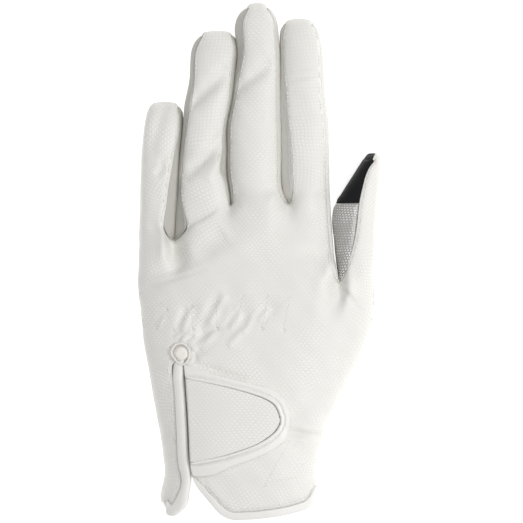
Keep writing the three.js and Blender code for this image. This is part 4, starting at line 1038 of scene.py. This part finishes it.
    def build(self) -> LeatherPanel:
        """Makes the panels.

        Returns:
            The back, which the stitches run along.
        """
        back = LeatherPanel(
            "back_panel",
            GRIP_LEATHER,
            "embossed_leather",
            finer=True,
            creases=self.marks(),
            eased=self.roots,
        )
        self.cap_thumb(back.build())
        LeatherPanel("palm_panel", GRIP_LEATHER, "embossed_leather").build()
        # The strips' grey tints are painted shade between the fingers, lighter beside the index
        # finger.
        strips = {
            "little_ring": PAINTED_SHADE_STRIP_LEATHER,
            "ring_middle": PAINTED_SHADE_STRIP_LEATHER,
            "middle_index": LIGHT_PAINTED_SHADE_STRIP_LEATHER,
        }
        for name, finish in strips.items():
            LeatherPanel(
                f"fourchette_{name}",
                finish,
                "smooth_leather",
                seam_depth=0.0,
                sunk=self.strip_sunk,
                swell=self.strip_swell,
            ).build()
        return back


@dataclass
class ThumbPatches:
    """The silver pad and the black touch tip on the thumb: each one's node, finish and slot."""

    patches: tuple[tuple[str, Finish, str], ...] = (
        ("thumb_pad", SCALE_LEATHER, "silver_pad"),
        ("thumb_touch_tip", TOUCH_SUEDE, "black_touch"),
    )

    def build(self) -> None:
        """Makes both patches."""
        for node, finish, slot in self.patches:
            LeatherPanel(node, finish, slot, finer=True).build()


@dataclass
class VentAndCuff:
    """The roll beside the vent, the cuff's binding, the keyhole's loop and the strip under it."""

    # The roll is stuffed, in millimetres, and its end shifts under the loop from its bend on.
    roll_thickness: float = 2.5 * MM
    roll_puff: float = 1.5
    roll_puff_width: float = 2.1
    roll_spread: float = 0.31
    roll_bend: float = -34.0 * MM
    roll_top: float = -28.4 * MM
    roll_shift: tuple[float, float, float] = (0.9 * MM, 1.6 * MM, -0.3 * MM)
    # The strip bulges in the keyhole, fully as far as puff_from and not past puff_to.
    strip_puff: float = 2.8 * MM
    puff_from: float = 2.3 * MM
    puff_to: float = 4.2 * MM
    # The loop: a cord round a drop that narrows and leans to the right below.
    cord_radius: float = 0.45 * MM
    half_width: float = 4.0 * MM
    narrowing: float = 0.3
    lean: float = 0.9 * MM
    above: float = 4.0 * MM
    below: float = 5.5 * MM
    shift: float = 0.8 * MM
    # The ring that it is shaped from, for a radius of 1.
    ring_radius: float = 0.2
    ring_segments: int = 72
    cord_segments: int = 14

    def loop(self) -> bpy.types.Object:
        """Shapes a ring into the drop-shaped loop round the vent's end.

        Returns:
            The loop.
        """
        low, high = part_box("keyhole_loop")
        centre = (low + high) / 2
        points = points_of(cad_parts["keyhole_loop"].data)
        plane = np.c_[points[:, :2], np.ones(len(points))]
        tilt = np.linalg.lstsq(plane, points[:, 2], rcond=None)[0]
        bpy.ops.mesh.primitive_torus_add(
            major_segments=self.ring_segments,
            minor_segments=self.cord_segments,
            major_radius=1.0,
            minor_radius=self.ring_radius,
        )
        obj = bpy.context.active_object
        obj.name = "keyhole_cord"
        made = points_of(obj.data)
        reach = np.hypot(made[:, 0], made[:, 1])
        cos, sin = made[:, 0] / reach, made[:, 1] / reach
        lower = np.maximum(-sin, 0)
        half = self.half_width * (1 - self.narrowing * lower**2)
        x = centre.x + cos * half + self.lean * lower
        y = centre.y - self.shift + np.where(sin > 0, self.above, self.below) * sin
        swell = (reach - 1) / self.ring_radius * self.cord_radius
        made[:, 0] = x + cos * swell
        made[:, 1] = y + sin * swell
        rise = made[:, 2] / self.ring_radius * self.cord_radius
        made[:, 2] = made[:, 0] * tilt[0] + made[:, 1] * tilt[1] + tilt[2] + rise
        move_points(obj.data, made)
        return finished(obj, PLAIN_LEATHER, "smooth_leather", "keyhole_loop")

    def roll(self) -> None:
        """Makes the roll, and shifts its end under the loop."""
        roll = LeatherPanel(
            "vent_binding",
            PLAIN_LEATHER,
            "smooth_leather",
            seam_depth=0.0,
            thickness=self.roll_thickness,
            levels=3,
            puff=self.roll_puff,
            puff_width=self.roll_puff_width,
            spread=self.roll_spread,
        ).build()
        points = points_of(roll.data)
        end = ramp(self.roll_bend, self.roll_top, points[:, 1])
        move_points(roll.data, points + end[:, None] * self.roll_shift)

    def build(self) -> None:
        """Makes the four pieces."""
        self.roll()
        SoftSolid(
            "cuff_binding", PLAIN_LEATHER, "smooth_leather", hold=0.6, crispness=0.4
        ).build()
        strip = SoftSolid("vent_underlap", JERSEY, "underlap_fabric", crispness=0.8).build()
        loop = self.loop()
        points = points_of(strip.data)
        middle = points_of(loop.data).mean(0)
        away = np.hypot(points[:, 0] - middle[0], points[:, 1] - middle[1])
        points[:, 2] += self.strip_puff * (1 - ramp(self.puff_from, self.puff_to, away))
        move_points(strip.data, points)


@dataclass
class WristStrap:
    """The closed strap, its pressed middle and the raised line between them."""

    piping_rise: float = 0.5 * MM
    # The groove in the strap beside the piping, which only its top has.
    groove_depth: float = 0.5 * MM
    groove_place: float = 0.4 * MM
    groove_width: float = 0.45 * MM
    top_from: float = 0.3
    top_to: float = 0.8

    def build(self) -> None:
        """Makes the three pieces."""
        strap = SoftSolid("closure_strap", PLAIN_LEATHER, "smooth_leather", crispness=0.7).build()
        SoftSolid("strap_overlay", GRIP_LEATHER, "embossed_leather", crispness=0.5).build()
        piping = SoftSolid("strap_piping", PLAIN_LEATHER, "smooth_leather", hold=0.6).build()
        points = points_of(piping.data)
        points[:, 2] += self.piping_rise * np.maximum(normals_of(piping.data)[:, 2], 0)
        move_points(piping.data, points)
        plan = np.array([1.0, 1.0, 0.0])
        tree = tree_of(points * plan)
        points = points_of(strap.data)
        away = np.array([tree.find(point)[2] for point in points * plan])
        groove = np.exp(-(((away - self.groove_place) / self.groove_width) ** 2))
        top = ramp(self.top_from, self.top_to, normals_of(strap.data)[:, 2])
        points[:, 2] -= self.groove_depth * groove * top
        move_points(strap.data, points)


@dataclass(frozen=True)
class Stitch:
    """One stitch on the leather: its middle, its way up and along, and its size, in metres."""

    spot: Vector
    normal: Vector
    along: Vector
    length: float
    thickness: float


@dataclass
class Sewing:
    """The stitches: beside the seams of the back, and the zigzags that gather the wrist."""

    back: LeatherPanel
    pitch: float = 2.5 * MM
    length: float = 1.7 * MM
    thickness: float = 0.5 * MM
    beside_seam: float = 1.5 * MM
    # The furthest that two neighbouring points of a seam lie apart, and how many are looked at.
    seam_step: float = 3.5 * MM
    seam_neighbours: int = 8
    # A zigzag's stitches: their pitch, and their length and thickness as shares of it and above.
    zigzag_pitch: float = 1.5 * MM
    zigzag_length: float = 0.75
    zigzag_share: float = 0.6
    # No stitch shows where the leather is steeper than this upward part of its way out.
    least_up: float = 0.45
    # How far a stitch stands proud, and where the search for the leather starts.
    proud: float = 0.05 * MM
    search_from: float = 0.1
    # A stitch is a ball, drawn out along the thread.
    ball_segments: int = 6
    ball_rings: int = 5
    # Corners of the zigzags, in millimetres.
    zigzags: tuple[tuple[tuple[float, float], ...], ...] = (
        (
            (-35.8, -6.0), (-34.2, -13.2), (-30.0, -3.8), (-26.7, -13.6), (-18.9, -2.9),
            (-18.5, -12.7), (-7.8, -0.6), (-7.8, -12.3), (3.8, 1.6), (0.2, -13.2),
            (15.6, 3.0), (12.2, -12.3), (25.1, 2.5), (22.0, -12.7),
        ),
        ((-6.0, -74.7), (24.7, -62.1), (13.1, -82.8), (19.3, -79.7), (29.1, -78.3)),
        (
            (-35.8, -30.3), (-27.8, -30.7), (-29.6, -41.0), (-26.9, -49.1), (-29.1, -60.4),
            (-26.5, -61.2), (-28.7, -70.2),
        ),
    )
    stitches: list[Stitch] = field(default_factory=list)

    def settle(
        self, ground: BVHTree, x: float, y: float, run: Vector, length: float, thickness: float
    ) -> None:
        """Lays one stitch on the leather below a point of the plan.

        Args:
            ground: the leather.
            x: its place across.
            y: its place along.
            run: which way it runs.
            length: its length.
            thickness: the thread's thickness.
        """
        start = Vector((x, y, self.search_from))
        spot, normal, _, _ = ground.ray_cast(start, Vector((0, 0, -1)))
        if spot is None or normal.z < self.least_up:
            return
        along = (run - normal * run.dot(normal)).normalized()
        self.stitches.append(Stitch(spot, normal, along, length, thickness))

    def seams(self, ground: BVHTree) -> None:
        """Places a row of stitches beside each seam that shows on the back.

        Args:
            ground: the leather.
        """
        points, ways = self.back.border, self.back.inward
        tree = tree_of(points)
        free = np.ones(len(points), bool)
        for start in np.argsort(points[:, 1]):
            here, left = int(start), self.pitch
            while free[here]:
                free[here] = False
                near = tree.find_n(points[here], self.seam_neighbours)
                ahead = [i for _, i, gap in near if free[i] and gap < self.seam_step]
                if not ahead:
                    break
                run = Vector(points[ahead[0]] - points[here])
                left -= run.length
                if left < 0:
                    left += self.pitch
                    x, y, _ = points[here] + ways[here] * self.beside_seam
                    self.settle(ground, x, y, run, self.length, self.thickness)
                here = ahead[0]

    def gathers(self, ground: BVHTree) -> None:
        """Places the stitches of the zigzags.

        Args:
            ground: the leather.
        """
        length = self.zigzag_length * self.zigzag_pitch
        thread = self.zigzag_share * self.thickness
        for corners in self.zigzags:
            for a, b in zip(corners, corners[1:]):
                run = Vector((b[0] - a[0], b[1] - a[1], 0)) * MM
                count = max(round(run.length / self.zigzag_pitch), 1)
                for i in range(count):
                    spot = Vector((a[0], a[1], 0)) * MM + run * ((i + 0.5) / count)
                    self.settle(ground, spot.x, spot.y, run, length, thread)

    def build(self) -> bpy.types.Object:
        """Makes all the stitches.

        Returns:
            The stitches, as one piece.
        """
        leather = bpy.data.objects["back_panel_leather"].data
        ground = BVHTree.FromPolygons(
            [v.co for v in leather.vertices], [tuple(p.vertices) for p in leather.polygons]
        )
        self.seams(ground)
        self.gathers(ground)
        bpy.ops.mesh.primitive_uv_sphere_add(
            segments=self.ball_segments, ring_count=self.ball_rings, radius=1.0
        )
        obj = bpy.context.active_object
        obj.name = "seam_stitches"
        one = points_of(obj.data)
        # The ball's faces come in another order in each run, so they are sorted.
        faces = sorted(tuple(p.vertices) for p in obj.data.polygons)
        rows, rings = [], []
        for stitch in self.stitches:
            side = stitch.normal.cross(stitch.along)
            turn = np.array([stitch.along, side, stitch.normal])
            size = np.array([stitch.length, stitch.thickness, stitch.thickness]) / 2
            middle = np.array(stitch.spot + stitch.normal * self.proud)
            base = len(rows) * len(one)
            rows.append((one[:, [2, 1, 0]] * size) @ turn + middle)
            rings += [tuple(base + i for i in reversed(face)) for face in faces]
        mesh = bpy.data.meshes.new("seam_stitches")
        mesh.from_pydata(np.concatenate(rows).tolist(), [], rings)
        mesh.update()
        obj.data = mesh
        return finished(obj, THREAD, "stitch_thread")


@dataclass
class Studio:
    """A pale floor, soft light from the right, and a camera straight above."""

    # What the picture spans at the glove's middle height, and its middle.
    frame_width: float = 234.0 * MM
    target: tuple[float, float] = (12.1 * MM, 17.6 * MM)
    middle_height: float = 15.0 * MM
    lens: float = 500.0
    sensor: float = 36.0
    # Each softbox: its name, its place, the length of its sides and its power in watts.
    softboxes: tuple[tuple[str, tuple[float, float, float], float, float], ...] = (
        ("key_softbox", (0.48, 0.02, 0.78), 0.5, 4.7),
        ("fill_softbox", (-0.7, 0.4, 1.2), 0.9, 1.0),
    )
    sky_tint: str = "F8F9FA"
    sky: float = 0.5
    floor_tint: str = "FBFBFA"
    floor_roughness: float = 0.9
    floor_size: float = 4.0
    floor_gap: float = 0.1 * MM
    floor_glow: float = 0.62

    def floor(self, low: float) -> None:
        """Lays the floor just under the glove.

        Args:
            low: the glove's lowest height.
        """
        bpy.ops.mesh.primitive_plane_add(
            size=self.floor_size, location=(0, 0, low - self.floor_gap)
        )
        sheet = bpy.context.active_object
        sheet.name = "studio_floor"
        made = bpy.data.materials.new("matt_white_floor")
        made.use_nodes = True
        shader = made.node_tree.nodes["Principled BSDF"]
        shader.inputs["Base Color"].default_value = linear(self.floor_tint)
        shader.inputs["Roughness"].default_value = self.floor_roughness
        shader.inputs["Emission Color"].default_value = linear("FFFFFF")
        shader.inputs["Emission Strength"].default_value = self.floor_glow
        sheet.data.materials.append(made)
        sheet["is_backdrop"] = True

    def softbox(
        self, name: str, place: tuple[float, float, float], size: float, watts: float
    ) -> None:
        """Hangs a square soft light that faces the glove.

        Args:
            name: its name.
            place: where it hangs.
            size: the length of its sides.
            watts: its power.
        """
        light = bpy.data.lights.new(name, "AREA")
        light.shape, light.size, light.energy = "SQUARE", size, watts
        obj = bpy.data.objects.new(name, light)
        obj.location = place
        obj.rotation_euler = (-Vector(place)).to_track_quat("-Z", "Y").to_euler()
        bpy.context.scene.collection.objects.link(obj)

    def camera(self) -> None:
        """Sets the camera straight above, with the fingers up."""
        data = bpy.data.cameras.new("camera")
        data.lens = self.lens
        data.sensor_width = self.sensor
        obj = bpy.data.objects.new("camera", data)
        distance = self.frame_width * self.lens / self.sensor
        obj.location = (*self.target, distance + self.middle_height)
        bpy.context.scene.collection.objects.link(obj)
        bpy.context.scene.camera = obj

    def build(self, low: float) -> None:
        """Makes the studio.

        Args:
            low: the glove's lowest height.
        """
        self.floor(low)
        for softbox in self.softboxes:
            self.softbox(*softbox)
        world = bpy.data.worlds.new("soft_sky")
        world.use_nodes = True
        sky = world.node_tree.nodes["Background"]
        sky.inputs["Color"].default_value = linear(self.sky_tint)
        sky.inputs["Strength"].default_value = self.sky
        bpy.context.scene.world = world
        bpy.context.scene.view_settings.view_transform = "Standard"
        self.camera()


def main() -> None:
    """Builds the glove around the CAD part."""
    logging.basicConfig(level=logging.INFO, format="%(name)s: %(message)s")
    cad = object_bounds()
    Studio().build(cad[0].z)
    back = HandLeather().build()
    ThumbPatches().build()
    VentAndCuff().build()
    WristStrap().build()
    Sewing(back).build()


if __name__ == "__main__":
    main()
